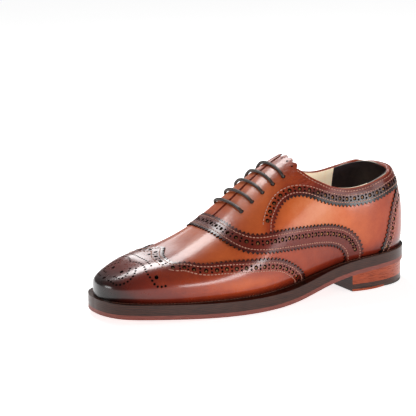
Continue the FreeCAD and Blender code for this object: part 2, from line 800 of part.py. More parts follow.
# ---------------------------------------------------------------- upper: pieces
eyelet_tools = build_eyelet_tools()
vamp_region = side_region("vamp_region", ahead(VAMP_EDGE))


def both_halves(name, source, holes=False):
    """Splits a skin into its lateral and medial pieces along slit and back seam."""
    opened = cut(name + "_opened", source, lace_slit)
    if holes:
        opened = cut(name + "_punched", opened, eyelet_tools)
    named(common(name + "_lateral_part", opened, lateral_half), name + "_lateral")
    named(cut(name + "_medial_part", opened, lateral_half), name + "_medial")


def build_base_leather():
    named(common("vamp_part", base_layer, vamp_region), "vamp")
    both_halves("quarter", cut("quarters", base_layer, vamp_region), holes=True)


def build_overlays():
    wing = side_region("wing_region", ahead(WING_EDGE))
    peak = plan_placed(CAP_PEAK)
    toe = plan_region("toe_region", closed_by(peak, [(at(-20.0), 60.0), (at(-20.0), -60.0)]), (0.0, 80.0))
    cap_region = fused("cap_region", [wing, toe])
    named(common("wing_cap_part", overlay_layer, cap_region), "wing_cap")
    above_band = side_region("above_band", behind(BAND_UPPER))
    above_lower = side_region("above_lower", behind(BAND_LOWER))
    band_region = cut("band_region", above_lower, above_band)
    named(common("band_part", overlay_layer, band_region), "vamp_band")
    facing_curve = placed(FACING_EDGE)
    corners = [(at(330.0), 150.0), (at(100.0), 150.0), (at(100.0), 55.0)]
    facing_region = side_region("facing_region", closed_by(facing_curve, corners))
    facing_skin = common("facing_skin", overlay_layer, facing_region)
    both_halves("facing", common("facings", facing_skin, above_band), holes=True)
    counter_region = side_region("counter_region", behind(COUNTER_EDGE))
    named(common("counter_part", overlay_layer, counter_region), "counter_cover")


def build_backing():
    stiff_rear = side_region("stiff_rear", behind(COUNTER_STIFFENER))
    puff_region = side_region("puff_region", box_profile(-CLEAR_OF_ALL, CLEAR_OF_ALL, PAST_TOE, TOE_PUFF_BACK))
    named(common("toe_puff_part", backing_layer, puff_region), "toe_puff")
    named(common("stiffener_part", backing_layer, stiff_rear), "heel_counter")
    rest = cut("backing_rest", cut("backing_no_toe", backing_layer, puff_region), stiff_rear)
    named(common("vamp_backing_part", rest, vamp_region), "vamp_interlining")
    both_halves("quarter_interlining", cut("quarter_backing", rest, vamp_region), holes=True)


def build_linings():
    front = side_region("lining_front", box_profile(-CLEAR_OF_ALL, CLEAR_OF_ALL, PAST_TOE, LINING_SPLITS[0]))
    rear = side_region("lining_rear", box_profile(-CLEAR_OF_ALL, CLEAR_OF_ALL, LINING_SPLITS[1], PAST_HEEL))
    named(cut("vamp_lining_part", common("lining_toe", lining_layer, front), lace_slit), "vamp_lining")
    named(common("heel_lining_part", lining_layer, rear), "heel_lining")
    middle = cut("lining_middle", cut("lining_no_front", lining_layer, front), rear)
    both_halves("quarter_lining", middle, holes=True)


def tongue_region(name, margin):
    half = dim("tongue_half_width") - margin
    front, back = 106.0 + margin, 188.0 - margin
    centre = slit_y(front), slit_y(back)
    lateral = [(front + 4.0, centre[0] - half * 0.75), (back - 14.0, centre[1] - half - 1.0),
               (back - 4.0, centre[1] - half * 0.72), (back, centre[1] - half * 0.3)]
    medial = [(s, 2 * slit_y(s) - y) for s, y in lateral][::-1]
    return plan_region(name, polygon(placed(lateral + medial)), (45.0, 150.0))


def build_tongue():
    depths = [dim("tongue_drop"), dim("tongue_drop") + dim("tongue_leather")]
    depths.append(depths[-1] + dim("tongue_backing"))
    skins = [form_feature(f"form_tongue_{i}", -depth, (100.0 - i, 194.0 + i)) for i, depth in enumerate(depths)]
    outer = cut("tongue_skin", skins[0], skins[1])
    inner = cut("tongue_lining_skin", skins[1], skins[2])
    named(common("tongue_part", outer, tongue_region("tongue_region", 0.0)), "tongue")
    named(common("tongue_lining_part", inner, tongue_region("tongue_lining_region", 1.0)), "tongue_lining")


build_base_leather()
build_overlays()
build_backing()
build_linings()
build_tongue()
build_lace()
doc.recompute()


def export():
    """Checks every object, then writes one STEP file for each sub-part."""
    failed = [o.Name for o in doc.Objects if "Invalid" in o.State or "Error" in o.State]
    if failed:
        raise RuntimeError(f"failed features: {failed}")
    os.makedirs("parts", exist_ok=True)
    for piece in pieces:
        shape = piece.Shape
        if shape.isNull() or not shape.isValid() or not shape.Solids:
            raise RuntimeError(f"bad shape: {piece.Label}")
        print(f"{piece.Label}: {len(shape.Solids)} solid(s), {shape.Volume:.0f} mm3")
        shape.exportStep(f"parts/{piece.Label}.step")


export()
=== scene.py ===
import math
from collections import namedtuple

import bpy
import numpy as np
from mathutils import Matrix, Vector, geometry


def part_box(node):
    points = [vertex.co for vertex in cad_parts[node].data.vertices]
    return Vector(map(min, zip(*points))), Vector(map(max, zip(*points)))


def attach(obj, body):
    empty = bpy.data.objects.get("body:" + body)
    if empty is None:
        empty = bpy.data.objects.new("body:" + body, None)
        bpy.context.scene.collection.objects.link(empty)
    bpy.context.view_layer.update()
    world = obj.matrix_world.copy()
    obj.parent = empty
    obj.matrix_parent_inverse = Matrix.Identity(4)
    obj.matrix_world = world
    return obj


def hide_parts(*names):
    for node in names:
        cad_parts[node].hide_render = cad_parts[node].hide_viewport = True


# The looks of a left leather oxford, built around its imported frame. Lengths are in
# millimetres until a mesh is made; MM turns them into metres. +X points to the heel and
# -Y to the outer side of the foot. "station" is the distance from the toe tip and
# "width" the distance inwards from the heel's centre line, as in the design.

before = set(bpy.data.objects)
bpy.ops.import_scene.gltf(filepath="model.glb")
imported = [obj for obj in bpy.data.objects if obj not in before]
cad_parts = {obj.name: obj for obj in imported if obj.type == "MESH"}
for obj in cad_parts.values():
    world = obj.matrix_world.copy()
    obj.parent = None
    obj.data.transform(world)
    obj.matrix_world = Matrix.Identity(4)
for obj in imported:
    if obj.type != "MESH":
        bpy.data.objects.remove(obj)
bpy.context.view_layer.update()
MM = 0.001

SOLE_LENGTH = (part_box("outsole")[1].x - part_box("outsole")[0].x) / MM
CENTRE_SHIFT = 2.35
WELT_TOP = 12.35
FOOT_DROP = 0.4
SKIN = 1.2
TOOTH, TOOTH_PITCH = 2.3, 3.9


# -------- the last's surface
# Station, half-width outwards, half-width inwards, height of the widest point, height of
# the crest, height of the underside, fullness of the section, lean of the crest.
LAST_ROWS = np.array([
    (4.0, 0.1, 0.1, 26.0, 28.0, 12.0, 2.5, 0.0),
    (6.0, 10.0, 12.0, 26.0, 31.0, 10.0, 2.5, 0.0),
    (10.0, 18.0, 19.0, 26.0, 33.0, 9.0, 2.5, 0.0),
    (20.0, 28.0, 28.0, 26.0, 37.5, 8.0, 2.5, 0.0),
    (38.0, 37.0, 37.0, 26.0, 44.5, 7.0, 2.5, 0.0),
    (62.0, 44.0, 43.5, 26.0, 49.5, 6.0, 2.4, 2.0),
    (90.0, 48.5, 45.0, 26.0, 59.0, 5.0, 2.3, 4.0),
    (115.0, 50.0, 44.0, 27.0, 71.5, 5.0, 2.4, 5.0),
    (140.0, 48.5, 39.0, 30.0, 89.5, 5.0, 2.5, 6.0),
    (165.0, 44.0, 33.5, 34.0, 107.0, 7.0, 2.5, 6.5),
    (195.0, 38.0, 30.0, 38.0, 121.0, 12.0, 2.5, 5.0),
    (225.0, 33.5, 30.5, 43.0, 123.0, 17.0, 2.7, 2.0),
    (255.0, 34.5, 32.0, 47.0, 116.0, 20.0, 3.0, 0.0),
    (280.0, 28.0, 26.0, 49.0, 106.0, 22.0, 3.0, 0.0),
    (293.0, 17.0, 16.0, 50.0, 83.0, 23.0, 2.6, 0.0),
    (299.5, 0.1, 0.1, 50.0, 55.0, 40.0, 2.2, 0.0)])
TOE_END, HEEL_END = LAST_ROWS[0, 0], LAST_ROWS[-1, 0]
SOLE_UNDERSIDE = np.array([
    (0.0, 5.1), (30.0, 3.9), (60.0, 2.2), (90.0, 0.7), (115.0, 0.1), (140.0, 0.4),
    (170.0, 3.0), (200.0, 9.2), (231.0, 14.6), (265.0, 17.9), (302.0, 19.4)])


def unit(vectors):
    """Rows of vectors brought to length one."""
    return vectors / np.maximum(np.linalg.norm(vectors, axis=1, keepdims=True), 1e-6)


def circle(count):
    """Angles of points evenly round a circle."""
    return np.linspace(0, 2 * math.pi, count, endpoint=False)


def lengths_along(places):
    """Distance of each place of a run from its start."""
    return np.concatenate([[0], np.cumsum(np.linalg.norm(np.diff(places, axis=0), axis=1))])


def read_at(s, knots, rows):
    """Rows of numbers read between their knots at s."""
    return np.stack([np.interp(s, knots, column) for column in rows.T], 1)


def nearest_squared(points, others):
    """Square of each point's distance to the nearest of the others."""
    near = np.full(len(points), 1e9)
    for chunk in np.array_split(others, max(1, len(others) // 200)):
        near = np.minimum(near, ((points[:, None] - chunk[None]) ** 2).sum(2).min(1))
    return near


def natural_spline(knots, values, wanted):
    """Cubic spline through the knots, straight at both ends."""
    gaps = np.diff(knots)
    size = len(knots)
    matrix = np.zeros((size, size))
    right = np.zeros(size)
    matrix[0, 0] = matrix[-1, -1] = 1.0
    for i in range(1, size - 1):
        matrix[i, i - 1:i + 2] = gaps[i - 1], 2 * (gaps[i - 1] + gaps[i]), gaps[i]
        right[i] = 6 * ((values[i + 1] - values[i]) / gaps[i] - (values[i] - values[i - 1]) / gaps[i - 1])
    bend = np.linalg.solve(matrix, right)
    wanted = np.asarray(wanted, float)
    i = np.clip(np.searchsorted(knots, wanted) - 1, 0, size - 2)
    gap, a = gaps[i], knots[i + 1] - wanted
    b = wanted - knots[i]
    cubic = bend[i] * a ** 3 / (6 * gap) + bend[i + 1] * b ** 3 / (6 * gap)
    return (cubic + (values[i] / gap - bend[i] * gap / 6) * a
            + (values[i + 1] / gap - bend[i + 1] * gap / 6) * b)


def turn_of(station):
    """A station as an angle, from 0 at the toe to pi at the heel."""
    share = (np.asarray(station, float) - TOE_END) / (HEEL_END - TOE_END)
    return np.arccos(np.clip(1 - 2 * share, -1, 1))


def station_of(turn):
    return TOE_END + (HEEL_END - TOE_END) * (1 - np.cos(turn)) / 2


def underside_height(station):
    return natural_spline(SOLE_UNDERSIDE[:, 0], SOLE_UNDERSIDE[:, 1], station)


class LastSurface:
    """The upper's outer surface as a chart: u is the station, v the girth from the crest.

    v is negative on the outer side. Chart points turn into places, normals and local
    steps by interpolating a fine lattice.
    """

    TURNS = 421
    GIRTH = 134.0
    STEP = 0.5

    def __init__(self):
        self.turns = np.linspace(0, math.pi, self.TURNS)
        stations = station_of(self.turns)
        self.girths = np.arange(-self.GIRTH, self.GIRTH + self.STEP / 2, self.STEP)
        share = np.linspace(0, 1, 141)
        eased = share ** 2 * (3 - 2 * share)
        quarter = np.concatenate([eased[:-1] + i for i in range(2)] + [[2.0]]) * math.pi / 2
        away = np.concatenate([-quarter[:0:-1], quarter])
        lattice = np.zeros((self.TURNS, len(self.girths), 3))
        self.reach = np.zeros((self.TURNS, 2))
        for j, station in enumerate(stations):
            y, z = self._section(station, away)
            length = np.concatenate([[0], np.cumsum(np.hypot(np.diff(y), np.diff(z)))])
            length -= length[len(quarter) - 1]
            self.reach[j] = -length[0], length[-1]
            lattice[j, :, 0] = station - SOLE_LENGTH / 2
            lattice[j, :, 1] = np.interp(self.girths, length, y) + CENTRE_SHIFT
            lattice[j, :, 2] = np.interp(self.girths, length, z)
        self.lattice = lattice
        along = np.gradient(lattice, axis=0)
        around = np.gradient(lattice, axis=1)
        normal = np.cross(along, around)
        normal[:, :, 2] += 1e-9
        size = np.linalg.norm(normal, axis=2, keepdims=True)
        self.normals = normal / np.maximum(size, 1e-9)

    def _section(self, station, away):
        """Y and Z round one section, at angles away from its crest."""
        turn, row_turns = turn_of(station), turn_of(LAST_ROWS[:, 0])
        lateral, medial, widest, crest, underside, fullness, lean = (
            natural_spline(row_turns, LAST_ROWS[:, i], [turn])[0] for i in range(1, 8))
        across, up = -np.sin(away), np.cos(away)
        half_width = np.where(across > 0, lateral, medial)
        height = np.where(up > 0, crest - widest, widest - underside)
        rise = np.sign(up) * np.abs(up) ** (2 / fullness)
        y = -np.sign(across) * np.abs(across) ** (2 / fullness) * half_width
        return y + np.where(rise > 0, lean * rise * rise, 0), widest + rise * height

    def girth_at_angle(self, station, degrees):
        """v of the point at an angle from the outer side's widest point."""
        away = np.linspace(0, math.radians(degrees - 90.0), 200)
        y, z = self._section(station, away)
        return np.sign(away[-1]) * np.hypot(np.diff(y), np.diff(z)).sum()

    def _cells(self, uv):
        uv = np.atleast_2d(np.asarray(uv, float))
        j = turn_of(uv[:, 0]) / math.pi * (self.TURNS - 1)
        k = (uv[:, 1] + self.GIRTH) / self.STEP
        j0 = np.clip(j.astype(int), 0, self.TURNS - 2)
        k0 = np.clip(k.astype(int), 0, len(self.girths) - 2)
        return j0, k0, (j - j0)[:, None], (k - k0)[:, None]

    def _mix(self, field, uv):
        j0, k0, a, b = self._cells(uv)
        near = field[j0, k0] * (1 - b) + field[j0, k0 + 1] * b
        far = field[j0 + 1, k0] * (1 - b) + field[j0 + 1, k0 + 1] * b
        return near * (1 - a) + far * a

    def places(self, uv, height=0.0):
        """Places at a height above the surface."""
        height = np.asarray(height, float).reshape(-1, 1) if np.ndim(height) else height
        return self._mix(self.lattice, uv) + self.normal(uv) * height

    def normal(self, uv):
        return unit(self._mix(self.normals, uv))

    def steps(self, uv, gap=0.4):
        """Change of place for one step of u and one of v."""
        uv = np.atleast_2d(np.asarray(uv, float))
        kept_in = uv.copy()
        kept_in[:, 0] = np.clip(uv[:, 0], TOE_END + gap, HEEL_END - gap)
        return [(self._mix(self.lattice, base + step) - self._mix(self.lattice, base - step)) / (2 * gap)
                for base, step in ((kept_in, (gap, 0.0)), (uv, (0.0, gap)))]

    def shifted(self, uv, vectors):
        """Chart points moved by 3-D vectors laid into the surface."""
        du, dv = self.steps(uv)
        a, b, c = (du * du).sum(1), (du * dv).sum(1), (dv * dv).sum(1)
        p, q = (du * vectors).sum(1), (dv * vectors).sum(1)
        det = np.maximum(a * c - b * b, 1e-9)
        return np.stack([uv[:, 0] + (c * p - b * q) / det, uv[:, 1] + (a * q - b * p) / det], 1)

    def girth_at_height(self, station, height, side, tilt=0.0):
        """v of the point at a height, on the outer (-1) or inner (+1) side.

        tilt makes the height rise with Y. Past the underside the answer is the underside.
        """
        most = np.interp(turn_of(station), self.turns, self.reach[:, 0 if side < 0 else 1])
        v = np.linspace(0.0, min(most, self.GIRTH), 500)
        place = self._mix(self.lattice, np.stack([np.full_like(v, station), side * v], 1))
        level = np.minimum.accumulate(place[:, 2] - tilt * place[:, 1])
        return side * np.interp(-height, -level, v)

    def girth_at_width(self, station, width):
        """v of the point at a width, found outwards from the crest."""
        crest = self._mix(self.lattice, [(station, 0.0)])[0, 1] - CENTRE_SHIFT
        side = -1 if width < crest else 1
        v = np.arange(0.0, self.GIRTH * 0.6, 0.25)
        y = self._mix(self.lattice, np.stack([np.full_like(v, station), side * v], 1))[:, 1]
        y = np.maximum.accumulate(side * (y - CENTRE_SHIFT))
        return side * np.interp(side * width, y, v)


last = LastSurface()


# -------- lines on the surface
def on_side(points, side, tilt=0.0):
    """Chart points of (station, height) pairs on the outer (-1) or inner (+1) side."""
    return [(t, last.girth_at_height(t, z, side, tilt)) for t, z in points]


def on_top(points):
    """Chart points of (station, width) pairs near the crest."""
    return [(t, last.girth_at_width(t, w)) for t, w in points]


class Seam:
    """A smooth line on the surface, read by its length s in millimetres."""

    SAMPLE = 0.4
    HEADING_REACH = 0.8

    def __init__(self, points):
        points = np.array(points, float)
        knots = lengths_along(last.places(points))
        fine = np.arange(0, knots[-1] + self.SAMPLE, self.SAMPLE)
        fine[-1] = knots[-1]
        self.uv = np.stack([natural_spline(knots, points[:, i], fine) for i in (0, 1)], 1)
        self.uv[:, 0] = np.clip(self.uv[:, 0], TOE_END, HEEL_END)
        self.xyz = last.places(self.uv)
        self.s = lengths_along(self.xyz)
        self.length = self.s[-1]

    def at(self, s):
        """Chart points of the line."""
        return read_at(np.atleast_1d(s), self.s, self.uv)

    def left(self, s, distance):
        """Chart points a distance to the left of the line, seen from outside."""
        s = np.atleast_1d(s)
        distance = np.broadcast_to(distance, s.shape)[:, None]
        ahead = np.minimum(s + self.HEADING_REACH, self.length)
        behind = np.maximum(s - self.HEADING_REACH, 0)
        heading = unit(last.places(self.at(ahead)) - last.places(self.at(behind)))
        uv = self.at(s)
        for _ in range(3):
            aside = unit(np.cross(last.normal(uv), heading))
            uv = last.shifted(uv, aside * distance / 3)
        return uv

    def stretch(self, start=0.0, end=None, step=1.6, aside=0.0):
        """Evenly spaced chart points from start to end, either way along the line."""
        end = self.length if end is None else end
        s = np.linspace(start, end, max(2, int(abs(end - start) / step) + 1))
        return self.left(s, aside) if aside else self.at(s)

    def pinked(self, start, end, depth):
        """Zigzag from start to end, with teeth that stand depth to the left."""
        teeth = max(2, int(round(abs(end - start) / TOOTH_PITCH)))
        s = np.linspace(start, end, teeth * 2 + 1)
        return self.left(s, depth * (np.arange(len(s)) % 2))

    def to_crest(self, side):
        """Drops the part beyond the crest; the line comes from the side."""
        count = int(np.argmax(side * self.uv[:, 1] <= 0.0)) + 1
        self.uv, self.s = self.uv[:count], self.s[:count]
        self.uv[-1, 1] = 0.0
        self.xyz, self.length = last.places(self.uv), self.s[-1]
        return self

    def nearest(self, uv):
        """Length s of the point of the line nearest to a chart point."""
        return self.s[np.argmin(((self.xyz - last.places([uv])[0]) ** 2).sum(1))]


def feather(station_from, station_to, side, drop=FOOT_DROP, step=2.0):
    """Chart points along the upper's foot, where it meets the welt."""
    count = max(2, int(abs(station_to - station_from) / step) + 1)
    stations = station_of(np.linspace(turn_of(station_from), turn_of(station_to), count * 2))
    return np.array(on_side(zip(stations, underside_height(stations) + WELT_TOP - drop), side))


def end_edge(station, from_v, to_v, step=1.5):
    """Chart points up and over the blunt end of the toe or heel."""
    count = max(2, int(abs(to_v - from_v) / step) + 1)
    return np.stack([np.full(count, station), np.linspace(from_v, to_v, count)], 1)


def joined_runs(*runs):
    return np.concatenate([np.atleast_2d(r) for r in runs])


def round_the_end(end, outer_station, inner_station):
    """Foot of the upper from the outer side, round the toe or heel, to the inner side."""
    outer, inner = feather(outer_station, end, -1), feather(end, inner_station, 1)
    return joined_runs(outer, end_edge(end, outer[-1, 1], inner[0, 1]), inner)


def joined(*runs):
    """Chart runs joined into one closed loop, anticlockwise, without doubled points."""
    points = joined_runs(*runs)
    keep = [0]
    for i in range(1, len(points)):
        gap = np.linalg.norm(last.places([points[i]]) - last.places([points[keep[-1]]]))
        if gap > 0.25 or np.linalg.norm(points[i] - points[keep[-1]]) > 0.5:
            keep.append(i)
    if np.linalg.norm(points[keep[-1]] - points[keep[0]]) < 0.3:
        keep.pop()
    loop = points[keep]
    x, y = loop[:, 0], loop[:, 1]
    area = (x * np.roll(y, -1) - y * np.roll(x, -1)).sum()
    return loop if area > 0 else loop[::-1]


# -------- sheets of leather
def inside(points, loop):
    """Which points lie inside a loop."""
    x, y = points[:, 0][:, None], points[:, 1][:, None]
    x0, y0 = loop[:, 0][None], loop[:, 1][None]
    x1, y1 = np.roll(x0, -1, 1), np.roll(y0, -1, 1)
    crosses = (y0 > y) != (y1 > y)
    at_x = x0 + (y - y0) * (x1 - x0) / np.where(y1 == y0, 1e-12, y1 - y0)
    return (crosses & (x < at_x)).sum(1) % 2 == 1


def ring_around(centre, radius, count):
    """Chart points on a round hole's edge."""
    centre = np.atleast_2d(np.asarray(centre, float))
    normal = last.normal(centre)[0]
    first = np.cross(normal, (0.0, 0.0, 1.0))
    if np.linalg.norm(first) < 0.1:
        first = np.cross(normal, (0.0, 1.0, 0.0))
    first /= np.linalg.norm(first)
    second = np.cross(normal, first)
    angles = circle(count)
    vectors = radius * (np.cos(angles)[:, None] * first + np.sin(angles)[:, None] * second)
    return last.shifted(np.repeat(centre, count, 0), vectors)


def inward(loop, distance):
    """The loop moved to its left, into the sheet."""
    places = last.places(loop)
    along = np.roll(places, -1, 0) - np.roll(places, 1, 0)
    return last.shifted(loop, unit(np.cross(last.normal(loop), along)) * distance)


FLAT_SCALE = (HEEL_END - TOE_END) / 2
ROW_SHARE, BORDER_SHARE, HOLE_CLEARANCE = 0.87, 0.55, 0.3


def flattened(uv):
    """Chart points with the station spread out towards the blunt ends."""
    return np.stack([turn_of(uv[:, 0]) * FLAT_SCALE, uv[:, 1]], 1)


def unflattened(flat):
    return np.stack([station_of(flat[:, 0] / FLAT_SCALE), flat[:, 1]], 1)


def triangulate(loop, hole_rings, hole_centres, hole_radii, spacing):
    """Vertices and triangles of a chart region with round holes, and its borders' vertices.

    Inner vertices lie in staggered rows, clear of the borders and of the holes.
    """
    rings = [flattened(ring) for ring in [loop] + hole_rings]
    low, high = rings[0].min(0), rings[0].max(0)
    us = np.arange(low[0], high[0], spacing)
    vs = np.arange(low[1], high[1], spacing * ROW_SHARE)
    grid = np.array([(u + (i % 2) * spacing / 2, v) for i, v in enumerate(vs) for u in us])
    grid = grid[inside(grid, rings[0])]
    borders = np.concatenate(rings)
    gap = spacing * BORDER_SHARE
    grid = grid[nearest_squared(grid, borders) > gap * gap]
    for centre, radius in zip(hole_centres, hole_radii):
        away = np.linalg.norm(last.places(unflattened(grid)) - last.places([centre]), axis=1)
        grid = grid[away > radius + HOLE_CLEARANCE]
    starts = [0]
    for ring in rings:
        starts.append(starts[-1] + len(ring))
    edges = [(start + i, start + (i + 1) % len(ring))
             for start, ring in zip(starts, rings) for i in range(len(ring))]
    points = [Vector(p) for p in np.concatenate([borders, grid])]
    verts, _, faces, source = geometry.delaunay_2d_cdt(points, edges, [], 1, 1e-6)[:4]
    order = {old: new for new, olds in enumerate(source) for old in olds}
    uv = unflattened(np.array([tuple(v) for v in verts]))
    faces = np.array([f for f in faces if len(f) == 3])
    if len(hole_centres):
        centroids = last.places(uv[faces].mean(1))
        keep = np.ones(len(faces), bool)
        for place, radius in zip(last.places(np.array(hole_centres)), hole_radii):
            keep &= np.linalg.norm(centroids - place, axis=1) > radius * 0.9
        faces = faces[keep]
    ring_ids = [np.array([order[start + i] for i in range(len(ring))]) for start, ring in zip(starts, rings)]
    return uv, faces, ring_ids


def new_object(name, verts, faces, normals=None, slots=(), face_slots=None):
    """A mesh object in metres from millimetre vertices; normals are per face corner."""
    mesh = bpy.data.meshes.new(name)
    mesh.from_pydata((np.asarray(verts) * MM).tolist(), [], [list(map(int, f)) for f in faces])
    for material in slots:
        mesh.materials.append(material)
    if face_slots is not None:
        mesh.polygons.foreach_set("material_index", np.asarray(face_slots, np.int32))
    mesh.polygons.foreach_set("use_smooth", np.full(len(mesh.polygons), True))
    if normals is not None:
        mesh.normals_split_custom_set([tuple(n) for n in normals])
    mesh.update()
    obj = bpy.data.objects.new(name, mesh)
    bpy.context.scene.collection.objects.link(obj)
    return obj


def add_shade(obj, name, values):
    """Stores one number for each vertex, for the materials to read."""
    attribute = obj.data.attributes.new(name, "FLOAT", "POINT")
    attribute.data.foreach_set("value", np.asarray(values, np.float32))


def settle(piece, node=None):
    """Makes a piece ride the shoe and, if asked, stand in for a node."""
    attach(piece, "shoe")
    if node:
        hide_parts(node)


def at_end_seam(uv, end_slack=0.01, girth_slack=0.05):
    """Which chart points lie where the outer and inner halves of the chart meet."""
    tip = (uv[:, 0] < TOE_END + end_slack) | (uv[:, 0] > HEEL_END - end_slack)
    turns = turn_of(uv[:, 0])
    outer = uv[:, 1] < -np.interp(turns, last.turns, last.reach[:, 0]) + girth_slack
    inner = uv[:, 1] > np.interp(turns, last.turns, last.reach[:, 1]) - girth_slack
    return tip | outer | inner


def seam_placed(uv):
    """Places and normals, with both halves of the chart meeting on the middle line."""
    places, normals = last.places(uv), last.normal(uv)
    seam = at_end_seam(uv)
    places[seam, 1] = CENTRE_SHIFT
    normals[seam, 1] = 0.0
    return places, unit(normals)


def height_at(height, uv):
    """A height as a column, from a number or a function of chart points."""
    if callable(height):
        return np.asarray(height(uv), float).reshape(-1, 1)
    return np.full((len(uv), 1), float(height))


HOLE_RIM, WIDE_HOLE = 1.1, 1.0
WIDE_HOLE_SIDES, FINE_HOLE_SIDES = 18, 10


def welded(verts, blocks):
    """Which vertices stay when doubles are joined, and the faces, normals and tags left."""
    _, first, again = np.unique(np.round(verts, 3), axis=0, return_index=True, return_inverse=True)
    again = again.reshape(-1)
    face_list, kept_normals, kept_tags = [], [], []
    for faces, normals, tags in blocks:
        normals = normals.reshape(len(faces), -1, 3)
        for face, corners, tag in zip(again[faces].tolist(), normals, tags.tolist()):
            sides = [k for k in range(len(face)) if face[k] != face[k - 1]]
            if len(sides) > 2:
                face_list.append([face[k] for k in sides])
                kept_normals.extend(corners[sides])
                kept_tags.append(tag)
    return first, face_list, kept_normals, kept_tags


def sheet(name, loop, bottom, top, holes, spacing, bevel, materials, shade=None):
    """A closed sheet of leather lying on the last between two heights.

    holes holds (chart point, radius) pairs. materials are the face's and the cut edge's.
    """
    centres, radii = [h[0] for h in holes], [h[1] for h in holes]
    counts = [WIDE_HOLE_SIDES if r > WIDE_HOLE else FINE_HOLE_SIDES for r in radii]
    seam = at_end_seam(loop)
    face_loop = np.where(seam[:, None], loop, inward(loop, bevel))
    rim_radii = [r + bevel * HOLE_RIM for r in radii]
    rims = [ring_around(c, r, n) for c, r, n in zip(centres, rim_radii, counts)]
    uv, faces, rings = triangulate(face_loop, rims, centres, rim_radii, spacing)
    count = len(uv)
    places, normal = seam_placed(uv)
    verts = [places + normal * height_at(height, uv) for height in (top, bottom)]
    charts = [uv, uv]
    face_tags = np.zeros(len(faces), int)
    blocks = [(faces, normal[faces], face_tags), (faces[:, ::-1] + count, -normal[faces[:, ::-1]], face_tags)]
    start = 2 * count
    edges = [loop] + [ring_around(c, r, n) for c, r, n in zip(centres, radii, counts)]
    for edge, ids in zip(edges, rings):
        size, outermost = len(edge), edge is loop
        edge_place, edge_normal = seam_placed(edge)
        verts += [edge_place + edge_normal * (height_at(top, edge) - bevel),
                  edge_place + edge_normal * height_at(bottom, edge)]
        charts += [edge, edge]
        along = np.roll(edge_place, -1, 0) - np.roll(edge_place, 1, 0)
        out = unit(np.cross(along, edge_normal)) * (1 if outermost else -1)
        i = np.arange(size)
        j = (i + 1) % size
        if outermost and seam.any():
            walled = ~(seam[i] & seam[j])
            i, j = i[walled], j[walled]
        upper, lower = start + i, start + size + i
        upper_j, lower_j = start + j, start + size + j
        leaning = (out + edge_normal) / math.sqrt(2)
        strips = [(ids[i], upper, upper_j, ids[j], (edge_normal[i], leaning[i], leaning[j], edge_normal[j]),
                   0 if outermost else 1),
                  (upper, lower, lower_j, upper_j, (out[i], out[i], out[j], out[j]), 1),
                  (lower, ids[i] + count, ids[j] + count, lower_j, (out[i],) * 4, 1)]
        for a, b, c, d, corner, tag in strips:
            quads, stack = np.stack([a, b, c, d], 1), np.stack(corner, 1)
            if not outermost:
                quads, stack = quads[:, ::-1], stack[:, ::-1]
            blocks.append((quads, stack, np.full(len(quads), tag)))
        start += 2 * size
    verts, chart = np.concatenate(verts), np.concatenate(charts)
    first, face_list, kept_normals, kept_tags = welded(verts, blocks)
    piece = new_object(name, verts[first], face_list, kept_normals, materials,
                       kept_tags if len(materials) > 1 else None)
    if shade is not None:
        add_shade(piece, "shade", shade(chart[first]))
    return piece


